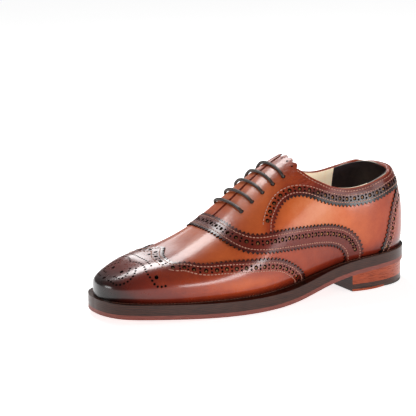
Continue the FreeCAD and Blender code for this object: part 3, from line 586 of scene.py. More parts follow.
# -------- materials
class Paint:
    """A procedural material, built node by node around one Principled shader."""

    def __init__(self, name, roughness=0.5, **constants):
        self.material = bpy.data.materials.new(name)
        self.material.use_nodes = True
        self.tree = self.material.node_tree
        self.shader = self.tree.nodes["Principled BSDF"]
        self.shader.inputs["Roughness"].default_value = roughness
        for key, value in constants.items():
            self.shader.inputs[key.replace("_", " ")].default_value = value
        self.space = self.node("TexCoord").outputs["Object"]

    def feed(self, socket, value):
        """Links a socket to another one, or sets it to a number or numbers."""
        if isinstance(value, bpy.types.NodeSocket):
            self.tree.links.new(value, socket)
        else:
            socket.default_value = value

    def node(self, kind, **inputs):
        """A new node with some of its inputs fed."""
        node = self.tree.nodes.new("ShaderNode" + kind)
        for name, value in inputs.items():
            self.feed(node.inputs[name], value)
        return node

    def put(self, source, socket):
        self.feed(self.shader.inputs[socket], source)

    def noise(self, size, detail=3.0, stretch=None):
        """Noise whose features are about size millimetres."""
        space = self.space
        if stretch:
            space = self.node("Mapping", Scale=stretch, Vector=space).outputs["Vector"]
        return self.node("TexNoise", Scale=1.0 / (size * MM), Detail=detail, Vector=space).outputs["Fac"]

    def cells(self, size):
        return self.node("TexVoronoi", Scale=1.0 / (size * MM), Vector=self.space).outputs["Distance"]

    def layers(self, size, distortion):
        """Wavy layers along Z, each about size millimetres thick."""
        node = self.node("TexWave", Scale=0.314 / (size * MM), Distortion=distortion, Vector=self.space)
        node.bands_direction = "Z"
        return node.outputs["Fac"]

    def attribute(self, name):
        node = self.node("Attribute")
        node.attribute_name = name
        return node.outputs["Fac"]

    def maths(self, operation, *values):
        node = self.node("Math")
        node.operation = operation
        for socket, value in zip(node.inputs, values):
            self.feed(socket, value)
        return node.outputs[0]

    def sum(self, *terms):
        """Sum of source times factor, each source a socket or a number."""
        total = 0.0
        for source, factor in terms:
            total = self.maths("MULTIPLY_ADD", source, factor, total)
        return total

    def ramp(self, source, stops):
        """Colours along a number: stops are (position, sRGB colour)."""
        node = self.node("ValToRGB", Fac=source)
        elements = node.color_ramp.elements
        while len(elements) < len(stops):
            elements.new(0.5)
        for element, (position, colour) in zip(elements, stops):
            element.position = position
            element.color = linear(colour)
        return node.outputs["Color"]

    def facing_toe(self, colour, other):
        """The other colour on faces that look along -X."""
        normal = self.node("NewGeometry").outputs["Normal"]
        forward = self.node("SeparateXYZ", Vector=normal).outputs["X"]
        mix = self.node("Mix")
        mix.data_type = "RGBA"
        self.feed(mix.inputs["Factor"], self.sum((forward, -4.0), (-2.2, 1.0)))
        self.feed(mix.inputs["A"], colour)
        self.feed(mix.inputs["B"], linear(other))
        return mix.outputs["Result"]

    def bump(self, source, depth):
        """Bumps up to depth millimetres high, on top of those already there."""
        node = self.node("Bump", Distance=depth * MM, Height=source)
        normal = self.shader.inputs["Normal"]
        if normal.is_linked:
            self.feed(node.inputs["Normal"], normal.links[0].from_socket)
        self.feed(normal, node.outputs["Normal"])


def linear(colour):
    """An sRGB colour of 0 to 255 as linear light with alpha."""
    return [((c / 255 + 0.055) / 1.055) ** 2.4 if c > 10 else c / 3294.6 for c in colour] + [1.0]


LEATHER_TONES = [(0.0, (212, 134, 90)), (0.2, (196, 94, 44)), (0.4, (156, 60, 28)), (0.58, (112, 34, 19)),
                 (0.76, (66, 19, 13)), (0.9, (34, 12, 9)), (1.0, (16, 8, 7))]


def leather_material(name, gloss=0.3, grain=1.0, polish=0.42, creased=False):
    """Hand-burnished calf: the shade attribute runs from bare tan to near black, and on some
    pieces it also holds painted highlight and painted shade.

    Creased leather reads where it's creased from the crease attribute.
    """
    paint = Paint(name, Coat_Weight=polish, Coat_Roughness=0.16, Specular_IOR_Level=0.15)
    shade = paint.attribute("shade")
    cloud, fleck = paint.noise(9.0, 4.0), paint.noise(1.6, 5.0)
    tone = paint.sum((shade, 1.0), (cloud, 0.16), (fleck, 0.07), (-0.115, 1.0))
    paint.put(paint.ramp(tone, LEATHER_TONES), "Base Color")
    paint.put(paint.sum((cloud, 0.12), (fleck, 0.10), (gloss - 0.06, 1.0)), "Roughness")
    paint.bump(paint.cells(0.55), 0.035 * grain)
    paint.bump(paint.noise(0.5, 6.0), 0.03 * grain)
    paint.bump(paint.noise(7.0, 2.0), 0.22 * grain)
    if creased:
        folds = paint.noise(3.2, 2.0, (1.0, 0.35, 1.5))
        paint.bump(paint.maths("MULTIPLY", folds, paint.attribute("crease")), 1.6)
    return paint.material


def mottled(name, low, high, size=2.0, roughness=0.6, bump=0.05, **constants):
    """A material between two colours, mottled at a size, with matching bumps."""
    paint = Paint(name, roughness, **constants)
    spread = paint.sum((paint.noise(size, 4.0), 0.7), (paint.noise(size / 5, 5.0), 0.3))
    paint.put(paint.ramp(spread, [(0.3, low), (0.7, high)]), "Base Color")
    paint.put(paint.sum((spread, 0.24), (roughness - 0.12, 1.0)), "Roughness")
    paint.bump(paint.noise(size / 4, 5.0), bump)
    return paint.material


def stacked(name, low, high, layer, roughness, breast=None):
    """Leather lifts seen edge on: thin layers along Z with streaks.

    breast is the colour of faces that look towards the toe.
    """
    paint = Paint(name, roughness, Coat_Weight=0.1, Coat_Roughness=0.2, Specular_IOR_Level=0.25)
    lines = paint.layers(layer, 0.6)
    streak = paint.noise(7.0, 5.0, (0.8, 0.8, 9.0))
    spread = paint.sum((lines, 0.25), (streak, 0.75))
    colour = paint.ramp(spread, [(0.25, low), (0.75, high)])
    if breast:
        colour = paint.facing_toe(colour, breast)
    paint.put(colour, "Base Color")
    paint.put(paint.sum((streak, 0.3), (roughness - 0.15, 1.0)), "Roughness")
    paint.bump(streak, 0.08)
    return paint.material


LEATHER = leather_material("burnished_leather")
CREASED = leather_material("creased_leather", creased=True)
POLISHED = leather_material("polished_toe_leather", 0.24, 0.5, 0.7)
CUT_EDGE = mottled("cut_edge", (26, 10, 7), (48, 21, 14), 1.5, 0.7, 0.04, Specular_IOR_Level=0.12)
# Near black: painted shadow inside the perforations.
HOLE_SHADOW = mottled("painted_hole_shadow", (10, 5, 3), (22, 9, 6), 1.5, 0.8, 0.02, Specular_IOR_Level=0.05)
UNDERLAY = mottled("tan_underlay", (78, 42, 22), (184, 122, 62), 2.0, 0.55, 0.05)
THREAD = mottled("waxed_thread", (142, 88, 70), (206, 152, 130), 0.8, 0.5, 0.03)
DARK_THREAD = mottled("dark_thread", (92, 48, 36), (140, 84, 62), 0.8, 0.5, 0.03)
LACE = mottled("waxed_lace", (28, 17, 12), (66, 46, 34), 1.0, 0.5, 0.03, Coat_Weight=0.15)
# The cream lining glows a little: painted light on the lining seen inside the shoe.
CREAM = mottled("cream_lining_leather", (232, 208, 172), (252, 236, 208), 4.0, 0.6, 0.06,
                Emission_Color=(1.0, 0.86, 0.68, 1.0), Emission_Strength=0.3)
BLACK = mottled("black_lining_leather", (36, 28, 32), (60, 50, 56), 3.0, 0.5, 0.06)
BOARD = mottled("stiffener_board", (128, 104, 78), (164, 140, 108), 2.0, 0.85, 0.08)
CLOTH = mottled("interlining_cloth", (196, 184, 160), (222, 212, 190), 0.7, 0.9, 0.06)
CORK_FILL = mottled("granular_cork", (104, 70, 42), (176, 130, 84), 1.8, 0.9, 0.2)
STEEL = mottled("spring_steel", (120, 122, 126), (160, 162, 166), 5.0, 0.35, 0.02, Metallic=1.0)
RUBBER = mottled("black_rubber", (44, 34, 30), (70, 58, 50), 1.2, 0.75, 0.06)
INSOLE = mottled("insole_board_leather", (176, 132, 92), (206, 164, 122), 3.0, 0.75, 0.08)
TONGUE = mottled("tongue_leather", (84, 30, 18), (128, 50, 28), 3.0, 0.4, 0.05, Coat_Weight=0.3)
AGLET = mottled("lace_tip", (40, 26, 20), (62, 42, 32), 1.0, 0.25, 0.01, Coat_Weight=0.6)
OUTSOLE = stacked("red_outsole", (96, 42, 36), (140, 74, 62), 1.2, 0.5)
SOLE_EDGE = stacked("waxed_sole_edge", (32, 13, 8), (72, 38, 26), 1.5, 0.34)
HEEL_STACK = stacked("stacked_heel", (92, 28, 10), (180, 76, 33), 1.1, 0.3, breast=(46, 26, 20))

NODE_FINISH = {
    OUTSOLE: ("outsole",), SOLE_EDGE: ("midsole", "welt", "heel_base_lift"),
    RUBBER: ("heel_top_piece_rubber",),
    HEEL_STACK: ("heel_top_piece_leather", "heel_lift_lower", "heel_lift_upper", "heel_seat_wedge"),
    STEEL: ("heel_nails", "shank"), CORK_FILL: ("cork_filler",), INSOLE: ("insole",),
    BLACK: ("sock_lining", "heel_lining"),
    CREAM: ("quarter_lining_lateral", "quarter_lining_medial", "vamp_lining", "tongue_lining"),
    BOARD: ("toe_puff", "heel_counter"), AGLET: ("lace_aglets",), TONGUE: ("tongue",),
    CLOTH: ("vamp_interlining", "quarter_interlining_lateral", "quarter_interlining_medial")}
for finish, names in NODE_FINISH.items():
    for node_name in names:
        mesh_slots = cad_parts[node_name].data.materials
        mesh_slots.clear()
        mesh_slots.append(finish)


# -------- edges of the upper
TOPLINE = [(176.5, 121.0), (184.0, 111.0), (193.0, 104.5), (201.0, 100.5), (210.0, 96.5), (220.0, 93.7),
           (230.0, 92.6), (240.0, 93.3), (251.0, 95.5), (262.0, 98.5), (272.0, 100.7)]
TOPLINE_ROUND = [(21.0, 101.5), (14.0, 102.1), (7.0, 102.5)]
TOPLINE_TILT = 0.083
TOPLINE_BACK, COLLAR_BACK, COUNTER_BACK = 282.9, 290.3, 288.8
BACK_STATIONS, QUARTER_BACK = (268.0, 292.0), (284.0, 299.4, 1.5)
VAMP_CREST, BAND_UPPER_CREST, BAND_LOWER_CREST = 109.3, 114.0, 102.2
VAMP_EDGE = [(111.0, 66.0), (117.0, 60.3), (126.0, 57.3), (143.0, 56.0), (185.0, 55.3), (203.0, 54.3),
             (216.0, 51.0), (226.0, 45.0), (231.5, 37.0), (234.0, 28.0), (234.5, 18.0)]
BAND_UPPER = [(115.5, 68.0), (119.0, 65.0), (125.0, 62.8), (142.0, 62.8), (162.0, 63.7), (184.0, 63.0),
              (200.0, 62.0), (214.0, 59.5), (226.0, 55.0), (235.0, 47.5), (240.0, 38.0), (241.5, 28.0),
              (242.0, 18.0)]
BAND_LOWER = [(104.5, 62.0), (109.0, 57.0), (118.0, 52.3), (130.0, 50.2), (150.0, 49.2), (183.0, 48.0),
              (200.0, 46.6), (212.0, 44.0), (221.0, 38.5), (225.5, 31.0), (227.0, 24.0), (227.5, 16.0)]
FACING_EDGE = [(144.5, 60.0), (146.0, 68.0), (149.5, 74.5), (155.0, 81.0), (162.0, 86.8), (170.0, 90.0),
               (179.0, 90.6), (188.0, 88.6), (198.0, 84.6), (208.0, 81.0), (219.0, 78.2), (231.0, 77.0),
               (245.0, 77.8), (260.0, 81.0), (273.0, 85.0), (283.0, 87.6)]
COUNTER_EDGE = [(285.5, 88.5), (281.5, 81.5), (276.5, 74.5), (273.0, 66.0), (270.3, 56.0), (267.5, 45.0),
                (263.5, 35.0), (261.0, 25.0)]
WING_EDGE = [(66.0, 44.9), (75.0, 43.8), (95.0, 43.8), (120.0, 43.6), (140.0, 42.3), (154.0, 39.0),
             (166.0, 32.5), (176.0, 24.0), (183.0, 14.0)]
CAP_PEAK = [(66.0, 3.5), (61.5, -3.0), (58.0, -9.0), (56.3, -15.0), (56.2, -21.0), (57.5, -26.5)]
PEAK_MIDDLE = 3.5
SLIT_FRONT, SLIT_BACK, SLIT_HALF = 113.6, 183.5, 1.6
SLIT_INWARDS, SLIT_DRIFT, SLIT_RUN = 5.0, 2.0, 76.4
SIDES = {"lateral": -1, "medial": 1}


def slit_width(station):
    """Width of the slit's middle, a little inwards of the heel's centre line."""
    return SLIT_INWARDS + SLIT_DRIFT * (station - SLIT_FRONT) / SLIT_RUN


def cap_seam(side):
    """Wing cap's edge from its peak round to the wing's foot."""
    peak = [(t, w if side < 0 else 2 * PEAK_MIDDLE - w) for t, w in CAP_PEAK]
    return Seam(on_top(peak) + on_side(WING_EDGE, side))


def over_the_top(points, crest_station):
    """A line from the outer side over the crest to the inner side."""
    return Seam(on_side(points, -1)[::-1] + [(crest_station, 0.0)] + on_side(points, 1))


Foot = namedtuple("Foot", "s station")


def foot_of(seam, last_end=True, risen=2.0):
    """Length s where a seam runs down onto the welt, and the station there.

    A line that starts on the welt has to have risen before its foot is looked for.
    """
    drop = seam.xyz[:, 2] - underside_height(seam.uv[:, 0]) - WELT_TOP + FOOT_DROP
    order = range(len(drop)) if last_end else range(len(drop) - 1, -1, -1)
    started = False
    for i in order:
        started = started or drop[i] > risen
        if started and drop[i] <= 0.0:
            return Foot(seam.s[i], seam.uv[i, 0])
    return Foot(seam.length, seam.uv[-1, 0]) if last_end else Foot(0.0, seam.uv[0, 0])


def feet_of(seam):
    """Both feet of a line that crosses the shoe, the outer side's first."""
    return foot_of(seam, False), foot_of(seam)


def side_to_back(points, side):
    """A line along one side to the middle of the back, level with its twin there."""
    beyond = [(t, -v) for t, v in points[-2:-4:-1]]
    return Seam(list(points) + beyond).to_crest(side)


def back_point(v, height):
    """Chart point near the heel's top, at a girth v from the crest and a height."""
    stations = np.linspace(*BACK_STATIONS, 200)
    levels = last.places(np.stack([stations, np.full_like(stations, v)], 1))[:, 2]
    return np.interp(-height, -np.minimum.accumulate(levels), stations), v


cap_seams = {name: cap_seam(side) for name, side in SIDES.items()}
vamp_seam = over_the_top(VAMP_EDGE, VAMP_CREST)
band_upper = over_the_top(BAND_UPPER, BAND_UPPER_CREST)
band_lower = over_the_top(BAND_LOWER, BAND_LOWER_CREST)
facing_seams = {
    name: side_to_back(on_side(FACING_EDGE, side)
                       + [(COLLAR_BACK - 1.6, side * 6.0), (COLLAR_BACK, 0.0)], side)
    for name, side in SIDES.items()}
counter_seams = {name: Seam(on_side(COUNTER_EDGE, side)) for name, side in SIDES.items()}
slit_seams = {name: Seam(on_top([(t, slit_width(t) + side * SLIT_HALF)
                                 for t in np.linspace(SLIT_FRONT, SLIT_BACK, 12)]))
              for name, side in SIDES.items()}
topline_seams = {}
for side_name, side_sign in SIDES.items():
    nearest_v = abs(slit_seams[side_name].uv[-1, 1]) + 3.0
    topline_points = [p for p in on_side(TOPLINE, side_sign, TOPLINE_TILT) if abs(p[1]) > nearest_v]
    topline_points += [back_point(side_sign * v, z) for v, z in TOPLINE_ROUND] + [(TOPLINE_BACK, 0.0)]
    topline_seams[side_name] = side_to_back(topline_points, side_sign)


# -------- perforations and threads
LARGE_HOLE, SMALL_HOLE, SMALL_APART = 1.66, 0.76, 1.45
STITCH_PITCH, STITCH_SHARE, STITCH_RADIUS = 2.75, 0.7, 0.46
THREAD_SIDES = 6
THREAD_PROFILE = ((0.0, 0.45), (0.16, 0.9), (0.5, 1.0), (0.84, 0.9), (1.0, 0.45))


def broguing(seam, start, end, aside, pitch):
    """A row of large holes with a pair of small ones, one above the other, between them."""
    count = max(1, int(round(abs(end - start) / pitch)))
    step = (end - start) / count
    holes = []
    for i in range(count):
        s = start + step * (i + 0.5)
        holes.append((seam.left(s, aside)[0], LARGE_HOLE))
        if i < count - 1:
            holes += [(seam.left(s + step / 2, aside + offset)[0], SMALL_HOLE)
                      for offset in (-SMALL_APART, SMALL_APART)]
    return holes


def tube_faces(rings, sides):
    """Faces of a tube made of rings of vertices, closed at both ends."""
    pairs = [(r * sides + k, r * sides + (k + 1) % sides) for r in range(rings - 1) for k in range(sides)]
    return ([[a, b, b + sides, a + sides] for a, b in pairs]
            + [list(range(sides))[::-1], [(rings - 1) * sides + k for k in range(sides)]])


def ring_places(centre, one, other, reaches, angles):
    """Places round a centre in the plane of two directions."""
    return [centre + reach * (math.cos(g) * one + math.sin(g) * other) for g, reach in zip(angles, reaches)]


def thread(ends, radius):
    """Vertices and faces of a short thread between two places, with rounded ends."""
    start, end = ends
    axis = end - start
    length = np.linalg.norm(axis)
    axis = axis / max(length, 1e-6)
    side = np.cross(axis, (0.0, 0.0, 1.0) if abs(axis[2]) < 0.9 else (0.0, 1.0, 0.0))
    side /= np.linalg.norm(side)
    other = np.cross(axis, side)
    verts = []
    for share, scale in THREAD_PROFILE:
        verts += ring_places(start + axis * length * share, side, other,
                             [radius * scale] * THREAD_SIDES, circle(THREAD_SIDES))
    return verts, tube_faces(len(THREAD_PROFILE), THREAD_SIDES)


def stitch_row(seam, start, end, aside, height):
    """Stitches along a seam, lying half sunk in the leather."""
    count = max(1, int(round(abs(end - start) / STITCH_PITCH)))
    s = np.linspace(start, end, count + 1)
    middle = (s[1:] + s[:-1]) / 2
    half = (end - start) / count * STITCH_SHARE / 2
    charts = [seam.left(middle + shift, aside) for shift in (-half, half)]
    ends = [last.places(uv, height_at(height, uv)[:, 0]) for uv in charts]
    return [thread(pair, STITCH_RADIUS) for pair in zip(*ends)]


def joined_mesh(name, parts, material):
    """One piece made of many small closed parts."""
    verts, faces = [], []
    for part_verts, part_faces in parts:
        faces += [[i + len(verts) for i in face] for face in part_faces]
        verts += list(part_verts)
    settle(new_object(name, verts, faces, slots=[material]))


# -------- burnish, with painted highlight and painted shade
# Pinked teeth are darkened nearly black: partly their dark burnished edges, partly painted shadow in the
# notches.
TOOTH_LINE, TOOTH_BLACK, TOOTH_REACH = 1.7, 0.34, 1.5
LOW_REACH = 9.0


def distance_to(uv, seams):
    """Distance in millimetres from chart points to the nearest of some seams."""
    return np.sqrt(nearest_squared(last.places(uv), np.concatenate([seam.xyz[::5] for seam in seams])))


def tooth_line(seam, outward):
    """The middle of a pinked edge's teeth."""
    return Seam(seam.stretch(step=3.0, aside=outward * TOOTH_LINE))


def burnish_and_painted_light(stations, tones, seams=(), amount=0.25, reach=5.0, low=0.0, painted_highlight=None, teeth=()):
    """Shade along the shoe, darker near some seams and, by low, down towards the welt.

    The lighter patch is a painted highlight: its station and half length, its height and half
    height over the welt, and how much lighter. teeth are the lines of pinked teeth, darkened
    nearly black: partly their dark burnished edges, partly painted shadow in the notches.
    """
    def shade(uv):
        tone = np.interp(uv[:, 0], stations, tones)
        if len(seams):
            tone = tone + amount * np.exp(-(distance_to(uv, seams) / reach) ** 2)
        # Teeth nearly black: partly dark burnished edges, partly painted shadow.
        if len(teeth):
            tone = tone + TOOTH_BLACK * np.exp(-(distance_to(uv, teeth) / TOOTH_REACH) ** 2)
        height = last.places(uv)[:, 2] - underside_height(uv[:, 0]) - WELT_TOP
        # A lighter patch: painted highlight.
        if painted_highlight:
            along, up = (uv[:, 0] - painted_highlight[0]) / painted_highlight[1], (height - painted_highlight[2]) / painted_highlight[3]
            tone = tone - painted_highlight[4] * np.exp(-along ** 2 - up ** 2)
        return tone + low * np.exp(-(height / LOW_REACH) ** 2)
    return shade


# -------- two kinds of sheet
BASE_SPACING, BASE_BEVEL = 2.4, 0.15
OVERLAY_FOOT, OVERLAY_TOP, OVERLAY_BEVEL = 0.04, SKIN, 0.22
COUNTER_TOP = OVERLAY_TOP - 0.05
CAP_ASIDE, BAND_ASIDE, EDGE_ASIDE = 5.2, 6.2, 5.0
CAP_PITCH, BAND_PITCH, EDGE_PITCH = 8.9, 7.4, 8.0


def base_leather(node, loop, shade):
    """A piece of the base leather, in place of a node of the frame."""
    materials = (LEATHER, CUT_EDGE)
    piece = sheet("visual_" + node, loop, -SKIN, 0.0, (), BASE_SPACING, BASE_BEVEL, materials, shade)
    settle(piece, node)


def overlay(node, loop, top, holes, spacing, shade, leather=LEATHER):
    """A perforated piece lying on the base leather, in place of a node of the frame."""
    materials = (leather, CUT_EDGE)
    piece = sheet("visual_" + node, loop, OVERLAY_FOOT, top, holes, spacing, OVERLAY_BEVEL, materials, shade)
    settle(piece, node)
    return piece


# -------- wing cap
TOE_MIDDLE = -1.5
CENTRE_HOLE, SIDE_HOLE, DOT_HOLE, DOT_PITCH = 1.5, 1.55, 0.8, 3.3
# A lighter patch low on the wing's side: painted highlight.
PAINTED_HIGHLIGHT_PATCH = (118.0, 36.0, 13.0, 6.0, 0.2)
MEDALLION_HOLES = [(21.3, 7.7), (40.1, 32.2)]
MEDALLION_CENTRES = [(9.1, 0.0), (50.5, 0.0)]
MEDALLION_ROWS = [
    ((27.5, 10.6), (23.0, 14.6), (18.6, 16.0), (15.2, 12.6), (14.4, 7.6)),
    ((30.8, 14.8), (25.4, 20.8), (19.6, 21.8), (12.6, 17.6), (9.4, 7.6)),
    ((33.2, 0.0), (36.4, 9.6), (36.4, 18.8), (35.0, 26.0), (35.9, 31.4), (38.6, 35.2), (45.4, 37.6)),
    ((41.7, 0.0), (42.2, 10.0), (41.6, 20.4))]


def medallion():
    """The toe's pattern: holes and dotted lines, the same either side of the toe's middle."""
    def across(points, side=1):
        return on_top([(t, TOE_MIDDLE + side * w) for t, w in points])

    holes = [(uv, CENTRE_HOLE) for uv in across(MEDALLION_CENTRES)]
    for side in SIDES.values():
        holes += [(uv, SIDE_HOLE) for uv in across(MEDALLION_HOLES, side)]
        for row in MEDALLION_ROWS:
            line = Seam(across(row, side))
            count = int(round(line.length / DOT_PITCH))
            skip = 1 if row[0][1] == 0.0 and side > 0 else 0
            holes += [(uv, DOT_HOLE) for uv in line.at(np.linspace(0, line.length, count + 1)[skip:])]
    return [(np.array(uv), radius) for uv, radius in holes]


wing_feet = {name: foot_of(cap_seams[name]) for name in SIDES}
cap_holes = medallion()
for side_name, side_sign in SIDES.items():
    foot = wing_feet[side_name].s
    cap_holes += broguing(cap_seams[side_name], 5.0, foot - 4.0, side_sign * CAP_ASIDE, CAP_PITCH)
cap_loop = joined(
    cap_seams["lateral"].pinked(0.0, wing_feet["lateral"].s, TOOTH),
    round_the_end(TOE_END, wing_feet["lateral"].station, wing_feet["medial"].station),
    cap_seams["medial"].pinked(wing_feet["medial"].s, 0.0, -TOOTH))
cap_lines = list(cap_seams.values())
overlay("wing_cap", cap_loop, OVERLAY_TOP, cap_holes, 1.8,
        burnish_and_painted_light([4, 8, 14, 24, 36, 60, 85, 120, 180], [0.94, 0.86, 0.74, 0.62, 0.56, 0.5, 0.46, 0.46, 0.52],
                  cap_lines, 0.14, 7.0, 0.1, PAINTED_HIGHLIGHT_PATCH,
                  [tooth_line(cap_seams[name], -SIDES[name]) for name in SIDES]),
        POLISHED)

# -------- base leather
vamp_feet = feet_of(vamp_seam)
vamp_loop = joined(vamp_seam.stretch(vamp_feet[0].s, vamp_feet[1].s),
                   round_the_end(TOE_END, vamp_feet[0].station, vamp_feet[1].station)[::-1])
# Slightly darker in a thin strip along the overlays' edges: partly burnish, partly painted shade beside them.
base_leather("vamp", vamp_loop,
             burnish_and_painted_light([60, 75, 95, 120, 160, 200, 234], [0.46, 0.34, 0.26, 0.3, 0.42, 0.5, 0.54],
                       cap_lines + [band_lower], 0.06, 2.6, 0.1))

for side_name, side_sign in SIDES.items():
    slit, topline = slit_seams[side_name], topline_seams[side_name]
    vamp_foot = vamp_feet[0] if side_sign < 0 else vamp_feet[1]
    foot_run = feather(vamp_foot.station, HEEL_END, side_sign)
    quarter_loop = joined(
        slit.stretch(), topline.stretch(), [(t, 0.0) for t in np.arange(*QUARTER_BACK)],
        end_edge(HEEL_END, 0.0, foot_run[-1, 1]), foot_run[::-1],
        vamp_seam.stretch(vamp_foot.s, vamp_seam.nearest(slit.at(0.0)[0])))
    # Slightly darker in a thin strip along the overlays' edges: partly burnish, partly painted shade beside
    # them.
    base_leather("quarter_" + side_name, quarter_loop,
                 burnish_and_painted_light([110, 150, 170, 200, 235, 262, 280], [0.5, 0.3, 0.16, 0.08, 0.26, 0.4, 0.46],
                           [band_upper, facing_seams[side_name], counter_seams[side_name]], 0.06, 2.2, 0.3))

# -------- band
BAND_LIFT, BAND_LIFT_BACK, BAND_LIFT_REACH, LIFT_RAMP = 0.55, 152.0, 9.0, 8.0


def band_top(uv):
    """The band rises where it overlaps the front of the facings."""
    forward = np.clip((BAND_LIFT_BACK - uv[:, 0]) / LIFT_RAMP, 0, 1)
    near_edge = np.clip(1 - distance_to(uv, [band_upper]) / BAND_LIFT_REACH, 0, 1)
    return OVERLAY_TOP + BAND_LIFT * (forward * near_edge)


upper_feet, lower_feet = feet_of(band_upper), feet_of(band_lower)
band_loop = joined(
    band_upper.pinked(upper_feet[0].s, upper_feet[1].s, -TOOTH),
    feather(upper_feet[1].station, lower_feet[1].station, 1),
    band_lower.pinked(lower_feet[1].s, lower_feet[0].s, TOOTH),
    feather(lower_feet[0].station, upper_feet[0].station, -1))
band_holes = broguing(band_upper, upper_feet[0].s + 9.0, upper_feet[1].s - 9.0, BAND_ASIDE, BAND_PITCH)
overlay("vamp_band", band_loop, band_top, band_holes, 1.5,
        burnish_and_painted_light([100, 120, 160, 242], [0.66, 0.64, 0.6, 0.66],
                  teeth=[tooth_line(band_upper, -1), tooth_line(band_lower, 1)]))

# -------- facings with the collar
EYELET_FRONT, EYELET_PITCH, EYELET_ROWS, EYELET_RADIUS = 129.5, 10.25, 5, 1.75
EYELET_OFFSET = {-1: -23.5, 1: 20.5}
TAB_RISE, TAB_LOBES, LOBE_STEPS = 2.4, 3, 10
TAB_HOLE, TAB_HOLE_BELOW = 0.7, (5.0, 0.0)
COLLAR_LIFT, COLLAR_LIFT_FRONT = 0.45, 266.0
CREASE_MIDDLE, CREASE_REACH = (0.032, -0.022, 0.106), 0.016


def facing_top(uv):
    """The collar rises where it overlaps the counter."""
    return OVERLAY_TOP + COLLAR_LIFT * np.clip((uv[:, 0] - COLLAR_LIFT_FRONT) / LIFT_RAMP, 0, 1)


def crease_at(places):
    """How creased the facings are at places in metres: most at their top corners."""
    middle = np.array(CREASE_MIDDLE)
    apart = (np.abs(places[:, 1]) - abs(middle[1])) ** 2 + ((places - middle)[:, ::2] ** 2).sum(1)
    return np.exp(-apart / CREASE_REACH ** 2)


def row_station(row):
    return EYELET_FRONT + EYELET_PITCH * row


def eyelet_width(side, station):
    return slit_width(station) + EYELET_OFFSET[side]


facing_holes = []
for side_name, side_sign in SIDES.items():
    slit, topline, edge = slit_seams[side_name], topline_seams[side_name], facing_seams[side_name]
    front, meet = band_upper.nearest(slit.at(0.0)[0]), band_upper.nearest(edge.at(3.0)[0])
    share = np.linspace(0.0, 1.0, TAB_LOBES * LOBE_STEPS + 1)[:, None]
    tab = slit.uv[-1] * (1 - share) + topline.uv[0] * share
    tab[:, 0] += TAB_RISE * np.abs(np.sin(share[:, 0] * TAB_LOBES * math.pi))
    facing_loop = joined(
        slit.stretch(step=1.2), tab, topline.stretch(step=1.2),
        [(t, 0.0) for t in np.arange(TOPLINE_BACK, COLLAR_BACK, 1.2)],
        edge.pinked(edge.length, 0.0, side_sign * TOOTH), band_upper.stretch(meet, front, aside=2.0))
    eyelets = on_top([(t, eyelet_width(side_sign, t)) for t in map(row_station, range(EYELET_ROWS))])
    holes = [(np.array(uv), EYELET_RADIUS) for uv in eyelets]
    holes += broguing(edge, 9.0, edge.length - 3.0, -side_sign * EDGE_ASIDE, EDGE_PITCH)
    holes += [(uv - TAB_HOLE_BELOW, TAB_HOLE) for uv in tab[LOBE_STEPS // 2::LOBE_STEPS]]
    facing_holes += holes
    facing = overlay("facing_" + side_name, facing_loop, facing_top, holes, 1.6,
                     burnish_and_painted_light([112, 130, 150, 175, 200, 250, 290], [0.38, 0.24, 0.2, 0.38, 0.56, 0.64, 0.64],
                               [edge], 0.3, 7.0, teeth=[tooth_line(edge, side_sign)]), CREASED)
    add_shade(facing, "crease", crease_at(np.array([v.co[:] for v in facing.data.vertices])))

# -------- counter
counter_feet = {name: foot_of(counter_seams[name]) for name in SIDES}
counter_loop = joined(
    counter_seams["lateral"].pinked(0.0, counter_feet["lateral"].s, -TOOTH),
    round_the_end(HEEL_END, counter_feet["lateral"].station, counter_feet["medial"].station),
    counter_seams["medial"].pinked(counter_feet["medial"].s, 0.0, TOOTH),
    [(COUNTER_BACK - 0.8, 6.0), (COUNTER_BACK, 0.0), (COUNTER_BACK - 0.8, -6.0)])
counter_holes = []
for side_name, side_sign in SIDES.items():
    counter_holes += broguing(counter_seams[side_name], 6.0, counter_feet[side_name].s - 4.0,
                              -side_sign * EDGE_ASIDE, EDGE_PITCH)
overlay("counter_cover", counter_loop, COUNTER_TOP, counter_holes, 1.8,
        burnish_and_painted_light([260, 275, 290, 299], [0.5, 0.44, 0.48, 0.56], list(counter_seams.values()), 0.16, 7.0, 0.3,
                  teeth=[tooth_line(counter_seams[name], SIDES[name]) for name in SIDES]))

# -------- tan underlay showing in the holes
UNDERLAY_FOOT, UNDERLAY_TOP = 0.02, 0.2


def underlay(name, seam, start, end, aside, half=2.4):
    """A strip of tan leather under a row of holes."""
    loop = joined(seam.stretch(start, end, 2.0, aside - half), seam.stretch(end, start, 2.0, aside + half))
    strip = sheet("underlay_" + name, loop, UNDERLAY_FOOT, UNDERLAY_TOP, (), 2.2, 0.05, (UNDERLAY,))
    settle(strip)


underlay("band", band_upper, upper_feet[0].s + 5.0, upper_feet[1].s - 5.0, BAND_ASIDE, 2.6)
for side_name, side_sign in SIDES.items():
    cap_foot, counter_foot = wing_feet[side_name].s, counter_feet[side_name].s
    edge, aside = facing_seams[side_name], -side_sign * EDGE_ASIDE
    underlay("cap_" + side_name, cap_seams[side_name], 3.0, cap_foot - 3.0, side_sign * CAP_ASIDE)
    underlay("collar_" + side_name, edge, 7.0, edge.length - 2.0, aside)
    underlay("counter_" + side_name, counter_seams[side_name], 4.0, counter_foot - 3.0, aside)

# -------- painted shadow in the holes: dark floors and off-centre dark rings
FLOOR_FOOT, FLOOR_TOP, FLOOR_SPREAD, FLOOR_SIDES = 0.02, 0.28, 0.15, 10
SHADOW_SHIFT, SHADOW_OPEN = (0.35, 0.0, -0.35), 0.55


